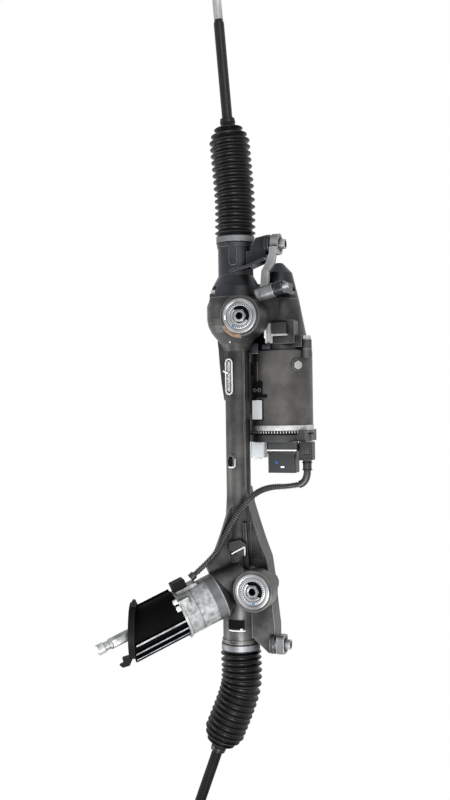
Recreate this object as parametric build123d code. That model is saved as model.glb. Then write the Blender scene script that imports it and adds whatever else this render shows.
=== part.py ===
from build123d import *
import math
import os

# Electric power steering rack with a parallel motor, in millimetres.
# The rack bar lies along Y. X points to the motor side. Z is up, along the two mounting bushes.
# The drawing is laid out from the middle of the rack bar. export_all moves it to the upper bush.

# Fits
RUNNING_FIT = 0.05
BODY_GAP = 0.3

# Rack bar and its travel
RACK_RADIUS = 13.0
RACK_HALF = 338.0
RACK_TRAVEL = 72.0
STOP_CLEARANCE = 1.0
STOP_THICKNESS = 4.0

# Rack teeth and pinion
TOOTH_MODULE = 1.85
PINION_TEETH = 8
PRESSURE_ANGLE = 20.0
CROSS_ANGLE = 66.7
PINION_RISE = 34.4
PINION_Y = -197.0
PITCH_LINE = 7.0
RACK_ADDENDUM = 1.0
RACK_DEDENDUM = 2.6
PINION_ADDENDUM = 2.2
PINION_DEDENDUM = 1.35
TOOTH_BACKLASH = 0.3
PINION_FACE = 34.0
TWIST_STEPS = 8

# Housing tube and necks
TUBE_RADIUS = 18.3
BORE_RADIUS = 15.0
NECK_END = 308.5
NECK_RADIUS = 26.3
NECK_WALL = 4.0
WING_TOP = 14.0
WING_LOW = -20.0
BEAD_HEIGHT = 1.4
BEAD_WIDTH = 5.0
CUFF_START = 296.8
LOWER_NECK_START = 232.0
TAPER_END = -78.0

# Gear case round the ball nut
CASE_RADIUS = 44.0
CASE_START = 150.0
CASE_SPLIT = 216.0
CASE_WALL = 5.0
CASE_TAPER_END = 250.0
SPLIT_RADIUS = 39.7
EAR_RADIUS = 6.5
EAR_HEIGHT = 6.0
EAR_DEPTH = 8.0
CASE_BOLT_RADIUS = 3.0
CASE_BOLT_LENGTH = 13.0
CASE_BOLT_HEAD = 4.8

# Motor axis, parallel to the rack bar
MOTOR_X = 53.0
MOTOR_Z = -48.5
MOTOR_RADIUS = 49.5
MOTOR_TOP = 139.0
MOTOR_LENGTH = 113.5
MOTOR_WALL = 3.5
MOTOR_EAR = 14.0
MOTOR_BOLT_SHANK = 4.0
STATOR_START = 22.0
BEARING_RADIUS = 14.0
ROTOR_RADIUS = 24.0
ROTOR_LENGTH = 70.0
STATOR_LENGTH = 80.0
ROTOR_SHAFT_RADIUS = 6.0
HOOD_ROOT_RADIUS = 36.5
HOOD_BASE_RADIUS = 30.5
HOOD_TOP_RADIUS = 20.5
VALLEY_RADIUS = 24.0
HOOD_SHOULDER = 257.0
HOOD_TOP = 272.0

# Belt drive and ball nut
BELT_Y = 195.0
BELT_WIDTH = 22.0
BELT_THICKNESS = 3.0
NUT_PULLEY_RADIUS = 34.0
MOTOR_PULLEY_RADIUS = 13.0
PULLEY_FLANGE = 1.5
NUT_RADIUS = 24.0
NUT_START = 166.0
NUT_END = 238.0
NUT_BEARING_RADIUS = 31.0
NUT_BEARING_START = 219.0
NUT_BEARING_WIDTH = 15.0
RETAINER_WIDTH = 4.0

# Mounting bushes, axis Z
UPPER_BUSH_X = 24.3
UPPER_BUSH_Y = 185.2
LOWER_BUSH_X = 38.0
LOWER_BUSH_Y = -210.6
BUSH_TOP = 61.0
BUSH_LENGTH = 21.0
BUSH_RADIUS = 25.5
BUSH_SHELL = 3.0
BUSH_CORE_RADIUS = 10.5
BUSH_BORE_RADIUS = 5.1
BUSH_BORE_DEPTH = 18.0
BOSS_WALL = 4.5
BUSH_PROUD = 1.2
COLUMN_RADIUS = 17.0

# Side mounts, axis X
UPPER_SIDE_Y = 292.0
LOWER_SIDE_Y = -295.0
SIDE_Z = 10.0
SIDE_PLATE_X = 51.5
SIDE_PLATE = 6.0
SIDE_PLATE_RADIUS = 15.0
SIDE_BLOCK_RADIUS = 13.5
SIDE_BLOCK = 11.0
SIDE_WASHER = 4.0
SLEEVE_RADIUS = 7.3
SLEEVE_BORE = 5.3
SLEEVE_PROUD = 8.0

# Pinion tower and torque sensor
TOWER_RADIUS = 34.0
TOWER_START = 44.0
TOWER_END = 108.0
TOWER_OFFSET = 9.0
TOWER_WALL = 4.0
TOWER_NECK_RADIUS = 25.0
PINION_BEARING_RADIUS = 16.0
PINION_BEARING_WIDTH = 10.0
TAIL_BEARING_RADIUS = 10.0
PINION_SHAFT_RADIUS = 9.0
TORSION_RADIUS = 3.0
INPUT_RADIUS = 8.0
INPUT_TIP = 238.0
INPUT_SPLINE = 20.0

# Column boot
BOOT_RADIUS = 33.0
BOOT_WALL = 2.5
BOOT_RIBS = 13
BULKHEAD_THICKNESS = 9.0
BULKHEAD_REACH = 175.0
BOOT_FAR = 212.0

# Yoke behind the rack bar
YOKE_RADIUS = 15.0
YOKE_LENGTH = 18.0
YOKE_PLUG_LENGTH = 8.0
YOKE_WALL = 4.5

# Ball joints and tie rods
BALL_Y = 358.0
BALL_RADIUS = 13.0
SEAT_WALL = 2.0
SOCKET_RADIUS = 19.0
ROD_NECK_RADIUS = 6.5
ROD_RADIUS = 7.9
ROD_SHOULDER = 279.0
ROD_THREAD_RADIUS = 6.6
ROD_LENGTH = 334.0
UPPER_TILT = 4.5
LOWER_TILT = 20.2

# Bellows
BELLOWS_CREST = 30.5
BELLOWS_VALLEY = 25.5
BELLOWS_INNER = 22.8
BELLOWS_FOLDS = 17
CUFF_RADIUS = 28.6
CUFF_LENGTH = 12.0
CLAMP_THICKNESS = 1.0
CLAMP_WIDTH = 8.0
UPPER_COLLAR = 118.5
LOWER_COLLAR = 103.0
COLLAR_RADIUS = 11.0
COLLAR_LENGTH = 11.0
SMALL_CLAMP_WIDTH = 4.0

# Brackets, ring band, control unit and plugs
CROSS_BOLT_X = 41.5
CROSS_BOLT_Y = 217.0
CROSS_BOLT_Z = 27.0
CROSS_BOSS_RADIUS = 10.5
CROSS_BOSS_LENGTH = 22.0
BAND_LENGTH = 7.6
COVER_LENGTH = 17.0
NOSE_LENGTH = 13.0
PLUG_LENGTH = 27.0
TAIL_LENGTH = 15.0
CONNECTOR_Z = -22.0
POWER_X = 64.5
CAPPED_X = 25.3
PLUG_X = 101.0
CABLE_RADIUS = 4.3
PLATFORM_Z = -4.0
COVER_LEFT = 22.0
COVER_RIGHT = 100.0

# Smaller sizes of the pinion shaft, tower and boot
TOOTH_SHIFT = 0.9
PINION_TAIL_RADIUS = 6.0
SENSOR_ROTOR_RADIUS = 12.5
SEAL_RADIUS = 14.0
TORSION_END = 150.0
BOOT_OFFSET = 4.0
BOOT_RIB_START = -10.0
BOOT_RIB_STEP = 20.0
BULKHEAD_COS = 0.9455
BULKHEAD_SIN = 0.3256

# Smaller sizes of the yoke, sockets and clamps
YOKE_START = 4.0
YOKE_GROOVE = 16.0
SOCKET_LIP = 6.0
CLAMP_START = 299.0
BELLOWS_SHOULDER = 2.2

# Derived places
NORMAL = Vector(math.sin(math.radians(PINION_RISE)), 0, math.cos(math.radians(PINION_RISE)))
CLIMB = Vector(-math.cos(math.radians(PINION_RISE)), 0, math.sin(math.radians(PINION_RISE)))
CROSS_SIN = math.sin(math.radians(CROSS_ANGLE))
CROSS_COS = math.cos(math.radians(CROSS_ANGLE))
PITCH_RADIUS = PINION_TEETH * TOOTH_MODULE / (2 * CROSS_SIN)
PINION_OFFSET = PITCH_LINE + PITCH_RADIUS
PINION_ORIGIN = NORMAL * PINION_OFFSET + Vector(0, PINION_Y, 0)
SOCKET_FACE = RACK_HALF
STOP_FACE = RACK_HALF - RACK_TRAVEL - STOP_CLEARANCE
COUNTERBORE_END = STOP_FACE - STOP_THICKNESS
COUNTERBORE_RADIUS = NECK_RADIUS - NECK_WALL
BELT_START = BELT_Y - BELT_WIDTH / 2
BELT_END = BELT_Y + BELT_WIDTH / 2
CAVITY_RADIUS = CASE_RADIUS - CASE_WALL
MOTOR_BOTTOM = MOTOR_TOP - MOTOR_LENGTH
COVER_END = MOTOR_BOTTOM - BAND_LENGTH - COVER_LENGTH
BUSH_FLOOR = BUSH_TOP - BUSH_LENGTH
BOSS_RADIUS = BUSH_RADIUS + BOSS_WALL
MOTOR_BOLT_RADIUS = MOTOR_RADIUS + 3.0

RACK = Plane(origin=(0, 0, 0), x_dir=(1, 0, 0), z_dir=(0, 1, 0))
MOTOR = Plane(origin=(MOTOR_X, 0, MOTOR_Z), x_dir=(1, 0, 0), z_dir=(0, 1, 0))
PINION = Plane(
    origin=PINION_ORIGIN, x_dir=NORMAL, z_dir=CLIMB * CROSS_SIN - Vector(0, CROSS_COS, 0)
)
TOWER = Plane(
    origin=PINION_ORIGIN - PINION.y_dir * TOWER_OFFSET, x_dir=PINION.x_dir, z_dir=PINION.z_dir
)
YOKE = Plane(origin=(0, PINION_Y, 0), x_dir=(0, 1, 0), z_dir=-NORMAL)
UPPER_BUSH = Plane(origin=(UPPER_BUSH_X, UPPER_BUSH_Y, 0), x_dir=(1, 0, 0), z_dir=(0, 0, 1))
LOWER_BUSH = Plane(origin=(LOWER_BUSH_X, LOWER_BUSH_Y, 0), x_dir=(1, 0, 0), z_dir=(0, 0, 1))
UPPER_SIDE = Plane(origin=(SIDE_PLATE_X, UPPER_SIDE_Y, SIDE_Z), x_dir=(0, 1, 0), z_dir=(1, 0, 0))
LOWER_SIDE = Plane(origin=(SIDE_PLATE_X, LOWER_SIDE_Y, SIDE_Z), x_dir=(0, 1, 0), z_dir=(1, 0, 0))

BASE = (Align.CENTER, Align.CENTER, Align.MIN)
NUT_SIDE_BOLTS = (37.0, [135, 218])
MOTOR_SIDE_BOLTS = (23.5, [20, -60, -130])
MOTOR_BOLT_ANGLES = [25, 165, 270]


# General forms
def rod_on(plane, radius, start, end):
    return plane.offset(start).location * Cylinder(radius, end - start, align=BASE)


def pipe_on(plane, outer, inner, start, end):
    return rod_on(plane, outer, start, end) - rod_on(plane, inner, start - 1, end + 1)


def cone_on(plane, radius_start, radius_end, start, end):
    return plane.offset(start).location * Cone(radius_start, radius_end, end - start, align=BASE)


def turned_on(plane, points):
    profile = Polyline([(radius, 0, height) for radius, height in points], close=True)
    return plane.location * revolve(make_face(profile), Axis.Z)


def slab(points, low, high):
    outline = Polyline([(x, y, low) for x, y in points], close=True)
    return extrude(make_face(outline), high - low, dir=(0, 0, 1))


def case_outline(nut_radius, motor_radius):
    rims = Circle(nut_radius).edges() + (Pos(MOTOR_X, -MOTOR_Z) * Circle(motor_radius)).edges()
    return make_hull(rims)


def case_block(nut_radius, motor_radius, start, end):
    return extrude(RACK.offset(start).location * case_outline(nut_radius, motor_radius), end - start)


def fuse(parts):
    whole = parts[0]
    for part in parts[1:]:
        whole = whole + part
    return whole


# Housing castings
def case_bolt_planes(start):
    planes = []
    for middle, (radius, angles) in ((RACK, NUT_SIDE_BOLTS), (MOTOR, MOTOR_SIDE_BOLTS)):
        for angle in angles:
            x = middle.origin.X + radius * math.cos(math.radians(angle))
            z = middle.origin.Z + radius * math.sin(math.radians(angle))
            planes.append(Plane(origin=(x, start, z), x_dir=(1, 0, 0), z_dir=(0, 1, 0)))
    return planes


def motor_bolt_planes(start):
    planes = []
    for angle in MOTOR_BOLT_ANGLES:
        x = MOTOR_X + MOTOR_BOLT_RADIUS * math.cos(math.radians(angle))
        z = MOTOR_Z + MOTOR_BOLT_RADIUS * math.sin(math.radians(angle))
        planes.append(Plane(origin=(x, start, z), x_dir=(1, 0, 0), z_dir=(0, 1, 0)))
    return planes


def lower_neck():
    neck = rod_on(RACK, NECK_RADIUS, -NECK_END, -LOWER_NECK_START)
    bead = rod_on(RACK, NECK_RADIUS + BEAD_HEIGHT, -CUFF_START, BEAD_WIDTH - CUFF_START)
    taper = cone_on(RACK, NECK_RADIUS, TUBE_RADIUS, -LOWER_NECK_START, TAPER_END)
    return neck + bead + taper


def nut_barrel():
    return turned_on(RACK, [
        (0, CASE_START - 12),
        (TUBE_RADIUS, CASE_START - 12),
        (TUBE_RADIUS + 6, CASE_START - 2),
        (CASE_RADIUS - 15, CASE_START + 4),
        (CASE_RADIUS - 7, CASE_START + 14),
        (CASE_RADIUS - 2, CASE_START + 24),
        (CASE_RADIUS, CASE_START + 34),
        (CASE_RADIUS, CASE_START + 54),
        (SPLIT_RADIUS, CASE_SPLIT),
        (0, CASE_SPLIT),
    ])


def case_taper(start, end, start_radii, end_radii):
    sections = [RACK.offset(start).location * case_outline(*start_radii),
                RACK.offset(end).location * case_outline(*end_radii)]
    return loft(sections, ruled=True)


def side_fin():
    outline = [(-12, CASE_START + 4), (-29, CASE_START + 3), (-27.5, 140), (-26, 117), (-23.5, 91),
               (-19.5, 64), (-12, 64)]
    return slab(outline, -12, 5)


def bush_boss(plane, low):
    boss = rod_on(plane, BOSS_RADIUS, low, BUSH_TOP - BUSH_PROUD)
    rim = boss.edges().filter_by(GeomType.CIRCLE).sort_by(Axis.Z)[-1]
    return chamfer(rim, 1.2)


def wing():
    outline = [(0, -62), (15, -66), (19, -90), (27, -116), (37, -146), (46, -170), (51, -205),
               (54, -240), (SIDE_PLATE_X + SIDE_PLATE, -270), (SIDE_PLATE_X + SIDE_PLATE, -308),
               (SIDE_PLATE_X - 4, -309), (24, -288), (0, -286)]
    shell = slab(outline, WING_LOW, WING_TOP)
    inner = offset(Face(Wire.make_polygon([Vector(x, y, WING_LOW - 1) for x, y in outline])), -5)
    hollow = extrude(inner, WING_TOP - WING_LOW - 4, dir=(0, 0, 1))
    pocket = slab([(22, -118), (25, -118), (39, -158), (41, -172), (24, -172)],
                  WING_TOP - 2.5, WING_TOP + 2)
    return shell - hollow - fillet(pocket.edges().filter_by(Axis.Z), 1)


def wing_ribs():
    long_rib = slab([(12, -118), (17, -118), (21, -185), (15, -185)], -10, WING_TOP + 7)
    cross_ribs = [
        slab([(10, y), (46, y), (46, y - 5), (10, y - 5)], WING_LOW, WING_TOP)
        for y in (-178, -246, -270)
    ]
    lip = slab([(-6, -150), (14, -159), (14, -163), (-6, -154)], 0, 26)
    return [long_rib, lip] + cross_ribs


def tower_neck():
    neck = rod_on(PINION, TOWER_NECK_RADIUS, 0, TOWER_START)
    flare = cone_on(TOWER, TOWER_NECK_RADIUS, TOWER_RADIUS, TOWER_START - 12, TOWER_START)
    web_plane = Plane(origin=PINION_ORIGIN - NORMAL * 9, x_dir=CLIMB, z_dir=NORMAL)
    reach = [(6, 116), (20, 98), (24, 86), (32, 62), (43, 34), (56, 12), (60, -4), (46, -44), (18, -72),
             (6, -72)]
    outline = Polyline([(x, y * web_plane.y_dir.Y, 0) for x, y in reach], close=True)
    web = web_plane.location * extrude(make_face(outline), 7)
    tail = rod_on(PINION, TAIL_BEARING_RADIUS + 4, -PINION_FACE / 2 - PINION_BEARING_WIDTH - 4, 0)
    return neck + flare + tail + web - rod_on(PINION, 90, TOWER_START, TOWER_END)


def yoke_boss():
    return rod_on(YOKE, YOKE_RADIUS + YOKE_WALL, 0, RACK_RADIUS + YOKE_LENGTH + YOKE_PLUG_LENGTH)


def motor_seat():
    # The arms carry the three motor bolt ears.
    seat = cone_on(MOTOR, MOTOR_RADIUS - 4, HOOD_ROOT_RADIUS, MOTOR_TOP, BELT_START)
    seat = seat + cone_on(MOTOR, HOOD_ROOT_RADIUS, HOOD_BASE_RADIUS, BELT_START, CASE_SPLIT)
    seat = seat + rectangle_slab((73, 96), (MOTOR_TOP + 3, MOTOR_TOP + 21), -44, -16)
    ears = [rod_on(plane, 8, 0, MOTOR_EAR) for plane in motor_bolt_planes(MOTOR_TOP)]
    arms = []
    for plane in motor_bolt_planes(MOTOR_TOP):
        middle = (plane.origin + Vector(MOTOR_X, MOTOR_TOP, MOTOR_Z)) * 0.5
        angle = math.degrees(math.atan2(plane.origin.Z - MOTOR_Z, plane.origin.X - MOTOR_X))
        arm = Box(50, MOTOR_EAR, 14)
        arms.append(Pos(middle.X, MOTOR_TOP + MOTOR_EAR / 2, middle.Z) * Rot(0, -angle, 0) * arm)
    return fuse([seat] + ears + arms)


def side_disc(plane):
    return rod_on(plane, SIDE_PLATE_RADIUS, 0, SIDE_PLATE)


def pad(plane, length, width, height):
    return plane.location * extrude(SlotOverall(length, width), height)


def rack_housing():
    body = rod_on(RACK, TUBE_RADIUS, -LOWER_NECK_START, CASE_START)
    body = body + lower_neck() + nut_barrel()
    body = body + case_taper(BELT_START - 6, CASE_SPLIT, (CASE_RADIUS - 1, VALLEY_RADIUS),
                             (SPLIT_RADIUS - 1.5, VALLEY_RADIUS))
    ears = [rod_on(plane, EAR_RADIUS, 0, EAR_DEPTH) for plane in case_bolt_planes(CASE_SPLIT - EAR_DEPTH)]
    body = fuse([body, motor_seat(), platform(), side_fin()] + ears)
    body = fuse([body, wing()] + wing_ribs())
    body = body + bush_boss(LOWER_BUSH, BUSH_FLOOR - 8)
    body = body + rod_on(LOWER_BUSH, COLUMN_RADIUS, WING_LOW, BUSH_FLOOR)
    body = fuse([body, lower_neck(), rod_on(RACK, TUBE_RADIUS, -LOWER_NECK_START, 0)])
    body = body + bush_boss(UPPER_BUSH, 10)
    body = fuse([body, tower_neck(), yoke_boss(), side_disc(LOWER_SIDE)])
    top_pad = Plane(origin=(-6, 99, TUBE_RADIUS - 3), x_dir=(0, 1, 0), z_dir=(-0.25, 0, 1))
    body = body + pad(top_pad, 54, 12, 4.5) - pad(top_pad.offset(3), 46, 6, 4)
    clip_seat = Plane(origin=(-5, -27, TUBE_RADIUS - 3), x_dir=(0, 1, 0), z_dir=(-0.3, 0, 1))
    body = body + pad(clip_seat, 22, 14, 4) - pad(clip_seat.offset(2), 16, 9, 4)
    ridge = slab([(13, 140), (16, 140), (16, -70), (13, -70)], 4, 14)
    return body + ridge - housing_bores()


def housing_bores():
    cuts = [
        rod_on(RACK, BORE_RADIUS, -NECK_END - 1, CASE_SPLIT + 1),
        rod_on(RACK, COUNTERBORE_RADIUS, -NECK_END - 1, -COUNTERBORE_END),
        rod_on(RACK, NUT_RADIUS + 2, NUT_START - 1, BELT_START),
        rod_on(RACK, NUT_BEARING_RADIUS + 1.5, BELT_END, CASE_SPLIT + 1),
        rod_on(MOTOR, MOTOR_PULLEY_RADIUS + 5, BELT_END, CASE_SPLIT + 1),
        case_block(CAVITY_RADIUS, MOTOR_PULLEY_RADIUS + 5, BELT_START - 3, BELT_END + 1),
        rod_on(MOTOR, ROTOR_SHAFT_RADIUS + 3, MOTOR_TOP - 1, BELT_START),
        rod_on(UPPER_BUSH, BUSH_RADIUS, BUSH_FLOOR, BUSH_TOP + 1),
        rod_on(LOWER_BUSH, BUSH_RADIUS, BUSH_FLOOR, BUSH_TOP + 1),
        rod_on(PINION, PITCH_RADIUS + PINION_ADDENDUM + 1.5, -PINION_FACE / 2 - 1, PINION_FACE / 2 + 3),
        rod_on(PINION, PINION_BEARING_RADIUS, PINION_FACE / 2 + 2, TOWER_START + 1),
        rod_on(PINION, TAIL_BEARING_RADIUS, -PINION_FACE / 2 - PINION_BEARING_WIDTH - 0.5, 0),
        rod_on(YOKE, YOKE_RADIUS + RUNNING_FIT, 0, 60),
        rod_on(LOWER_SIDE, SLEEVE_RADIUS, -1, SIDE_PLATE + 1),
        rod_on(TOWER, TOWER_RADIUS + 3, TOWER_START, TOWER_END),
        rod_on(CROSS_BOLT, CROSS_BOSS_RADIUS + 0.5, -3, CROSS_BOSS_LENGTH + 5),
    ]
    bolt_ends = case_bolt_planes(CASE_SPLIT + EAR_HEIGHT - CASE_BOLT_LENGTH)
    cuts = cuts + [rod_on(plane, CASE_BOLT_RADIUS, 0, CASE_BOLT_LENGTH) for plane in bolt_ends]
    cuts = cuts + [rod_on(plane, MOTOR_BOLT_SHANK, -1, 20) for plane in motor_bolt_planes(MOTOR_TOP)]
    cuts = cuts + [rod_on(plane, 8.5, 0, 8) for plane in motor_bolt_planes(MOTOR_TOP + MOTOR_EAR)]
    return fuse(cuts)


def upper_web():
    web = slab([(0, 257), (26, 262), (SIDE_PLATE_X + 1, 271), (SIDE_PLATE_X + 1, 306),
                (36, 303), (27, 284), (0, 284)], 4, 15)
    rib = slab([(0, 253), (26, 258), (SIDE_PLATE_X + 1, 268), (SIDE_PLATE_X + 1, 272),
                (26, 262), (0, 257)], 0, 27)
    return web + rib


def hood():
    return turned_on(MOTOR, [
        (0, CASE_SPLIT),
        (HOOD_BASE_RADIUS, CASE_SPLIT),
        (HOOD_TOP_RADIUS, HOOD_SHOULDER),
        (HOOD_TOP_RADIUS - 14, HOOD_TOP),
        (0, HOOD_TOP),
    ])


def drive_housing():
    body = turned_on(RACK, [
        (0, CASE_SPLIT),
        (SPLIT_RADIUS, CASE_SPLIT),
        (NUT_BEARING_RADIUS + 5, NUT_BEARING_START + NUT_BEARING_WIDTH - 2),
        (NECK_RADIUS - 0.3, CASE_TAPER_END),
        (0, CASE_TAPER_END),
    ])
    body = body + rod_on(RACK, NECK_RADIUS, CASE_TAPER_END - 2, NECK_END)
    body = body + rod_on(RACK, NECK_RADIUS + BEAD_HEIGHT, CUFF_START - BEAD_WIDTH, CUFF_START)
    body = body + hood() + case_taper(CASE_SPLIT, CASE_SPLIT + 20, (SPLIT_RADIUS - 1.5, VALLEY_RADIUS),
                                      (NUT_BEARING_RADIUS, VALLEY_RADIUS - 6))
    ears = [rod_on(plane, EAR_RADIUS, 0, EAR_HEIGHT) for plane in case_bolt_planes(CASE_SPLIT)]
    body = fuse([body, upper_web(), side_disc(UPPER_SIDE), hood_lug()] + ears)
    neck_pad = Plane(origin=(4, 278, NECK_RADIUS - 2), x_dir=(0, 1, 0), z_dir=(0.15, 0, 1))
    body = body + pad(neck_pad, 30, 12, 3.2)
    cuts = [
        rod_on(RACK, NUT_RADIUS + 2, CASE_SPLIT - 1, NUT_END + 4),
        rod_on(RACK, NUT_BEARING_RADIUS, CASE_SPLIT - 1, NUT_BEARING_START + NUT_BEARING_WIDTH),
        rod_on(RACK, BORE_RADIUS, NUT_END, NECK_END + 1),
        rod_on(RACK, COUNTERBORE_RADIUS, COUNTERBORE_END, NECK_END + 1),
        rod_on(MOTOR, MOTOR_PULLEY_RADIUS + 5, CASE_SPLIT - 1, CASE_SPLIT + 6),
        rod_on(UPPER_SIDE, SLEEVE_RADIUS, -1, SIDE_PLATE + 1),
        rod_on(CROSS_BOLT, CROSS_BOSS_RADIUS + 0.5, -3, CROSS_BOSS_LENGTH + 5),
        rod_on(CROSS_BOLT, 4, -1, 60),
    ]
    for plane in case_bolt_planes(CASE_SPLIT):
        cuts.append(rod_on(plane, CASE_BOLT_RADIUS, -1, EAR_HEIGHT + 1))
        cuts.append(rod_on(plane, CASE_BOLT_HEAD + 0.4, EAR_HEIGHT, EAR_HEIGHT + 12))
    return body - fuse(cuts)


# Brackets on the gear case
CROSS_BOLT = Plane(
    origin=(CROSS_BOLT_X, CROSS_BOLT_Y, CROSS_BOLT_Z), x_dir=(-0.26, 0.966, 0), z_dir=(0.966, 0.26, 0)
)


def hood_lug():
    eye = rod_on(CROSS_BOLT, CROSS_BOSS_RADIUS - 1, CROSS_BOSS_LENGTH + 6, CROSS_BOSS_LENGTH + 18)
    middle = CROSS_BOLT.origin + CROSS_BOLT.z_dir * (CROSS_BOSS_LENGTH + 12)
    post = Pos(middle.X, middle.Y + 3, (MOTOR_Z + 20 + CROSS_BOLT_Z) / 2) * Box(
        12, 16, CROSS_BOLT_Z - MOTOR_Z - 20)
    return eye + post


def support_bracket():
    low = CROSS_BOLT_Z - 4
    block_x = SIDE_PLATE_X + SIDE_PLATE + SIDE_WASHER
    arm = slab([(block_x + 1, 281), (block_x + 10, 281), (block_x + 8, 265), (block_x - 2, 250),
                (CROSS_BOLT_X + 18, 224), (CROSS_BOLT_X + 5, 220), (block_x - 12, 252),
                (block_x - 3, 267)], low, low + 9)
    eye = rod_on(CROSS_BOLT, CROSS_BOSS_RADIUS, 4, 4 + CROSS_BOSS_LENGTH)
    block_start = block_x - SIDE_PLATE_X
    block = rod_on(UPPER_SIDE, SIDE_BLOCK_RADIUS + 2, block_start, block_start + SIDE_BLOCK)
    foot = slab([(block_x, 276), (block_x + SIDE_BLOCK, 276), (block_x + SIDE_BLOCK, 286),
                 (block_x, 286)], SIDE_Z, low + 9)
    body = fuse([arm, eye, block, foot])
    hole = rod_on(UPPER_SIDE, SIDE_BLOCK_RADIUS - 2, 0, 60)
    return body - hole - rod_on(CROSS_BOLT, 4, 0, 40)


def bracket_bolt():
    head = rod_on(CROSS_BOLT, 9.5, -2, 4)
    shank = rod_on(CROSS_BOLT, 4, 4, CROSS_BOSS_LENGTH + 26)
    return chamfer(head.edges().filter_by(GeomType.CIRCLE).sort_by(Axis.X)[0], 1.5) + shank


def rectangle_slab(x_range, y_range, low, high):
    left, right = x_range
    near, far = y_range
    return slab([(left, near), (right, near), (right, far), (left, far)], low, high)


def platform():
    body = rectangle_slab((46, 88), (147, 182), PLATFORM_Z - 22, PLATFORM_Z)
    return fillet(body.edges().filter_by(Axis.Z), 3)


def angle_bracket():
    bar = rectangle_slab((46, 55), (148, 177.5), PLATFORM_Z, PLATFORM_Z + 2.5)
    upright = rectangle_slab((46, 48.5), (148, 177.5), PLATFORM_Z, PLATFORM_Z + 9)
    foot = rectangle_slab((55, 79), (158.5, 161), PLATFORM_Z, PLATFORM_Z + 8)
    return bar + upright + foot


def bracket_block():
    body = rectangle_slab((55.5, 78), (161.2, 177.5), PLATFORM_Z, PLATFORM_Z + 11)
    return fillet(body.edges().filter_by(Axis.Z), 2)


# Bolts of the gear case and motor
def bolt_on(plane, radius, length, head_radius, head_height):
    head = plane.offset(-head_height).location * extrude(RegularPolygon(head_radius, 6), head_height)
    return head + rod_on(plane, radius, 0, length)


def case_bolts():
    bolts = []
    for plane in case_bolt_planes(CASE_SPLIT + EAR_HEIGHT):
        turned = Plane(origin=plane.origin, x_dir=(1, 0, 0), z_dir=(0, -1, 0))
        bolts.append(bolt_on(turned, CASE_BOLT_RADIUS, CASE_BOLT_LENGTH, CASE_BOLT_HEAD, 5))
    return bolts


def motor_bolts():
    bolts = []
    for plane in motor_bolt_planes(MOTOR_TOP + MOTOR_EAR):
        turned = Plane(origin=plane.origin, x_dir=(1, 0, 0), z_dir=(0, -1, 0))
        bolts.append(bolt_on(turned, MOTOR_BOLT_SHANK, MOTOR_EAR + 10, 7, 6))
    return bolts


# Mounting bushes
def bush_shell(plane):
    shell = pipe_on(plane, BUSH_RADIUS, BUSH_RADIUS - BUSH_SHELL, BUSH_FLOOR, BUSH_TOP)
    lip = pipe_on(plane, BUSH_RADIUS, BUSH_RADIUS - BUSH_SHELL - 4.5, BUSH_TOP - 2.5, BUSH_TOP - 0.5)
    return shell + lip


def bush_core(plane):
    hexagon = RegularPolygon(BUSH_CORE_RADIUS, 6)
    core = plane.offset(BUSH_FLOOR).location * extrude(hexagon, BUSH_LENGTH + 0.5)
    bore = rod_on(plane, BUSH_BORE_RADIUS, BUSH_TOP + 0.5 - BUSH_BORE_DEPTH, BUSH_TOP + 2)
    return core - bore


def bush_rubber(plane):
    outer = BUSH_RADIUS - BUSH_SHELL
    rubber = rod_on(plane, outer, BUSH_FLOOR, BUSH_TOP - 4)
    hexagon = RegularPolygon(BUSH_CORE_RADIUS, 6)
    core = plane.offset(BUSH_FLOOR - 1).location * extrude(hexagon, BUSH_LENGTH + 5)
    ring = pipe_on(plane, outer - 2.5, BUSH_CORE_RADIUS + 2.5, BUSH_FLOOR + 6, BUSH_TOP)
    blocks = Box(18, 80, 80, align=(Align.CENTER, Align.CENTER, Align.MIN))
    voids = ring - Pos(plane.origin.X, plane.origin.Y, 0) * blocks
    return rubber - core - voids


# Side mounts
def side_rubber(plane):
    start = SIDE_PLATE + SIDE_WASHER
    return pipe_on(plane, SIDE_BLOCK_RADIUS - 2, SLEEVE_RADIUS, start, start + SIDE_BLOCK)


def side_block(plane):
    start = SIDE_PLATE + SIDE_WASHER
    outline = RectangleRounded(2 * SIDE_BLOCK_RADIUS, 24, 5)
    body = plane.offset(start).location * extrude(outline, SIDE_BLOCK)
    return body - rod_on(plane, SIDE_BLOCK_RADIUS - 2, start - 1, start + SIDE_BLOCK + 1)


def side_washer(plane):
    return pipe_on(plane, SIDE_PLATE_RADIUS - 3, SLEEVE_RADIUS, SIDE_PLATE, SIDE_PLATE + SIDE_WASHER)


def side_sleeve(plane):
    length = SIDE_PLATE + SIDE_WASHER + SIDE_BLOCK + SLEEVE_PROUD
    return pipe_on(plane, SLEEVE_RADIUS, SLEEVE_BORE, 0, length)


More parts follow.
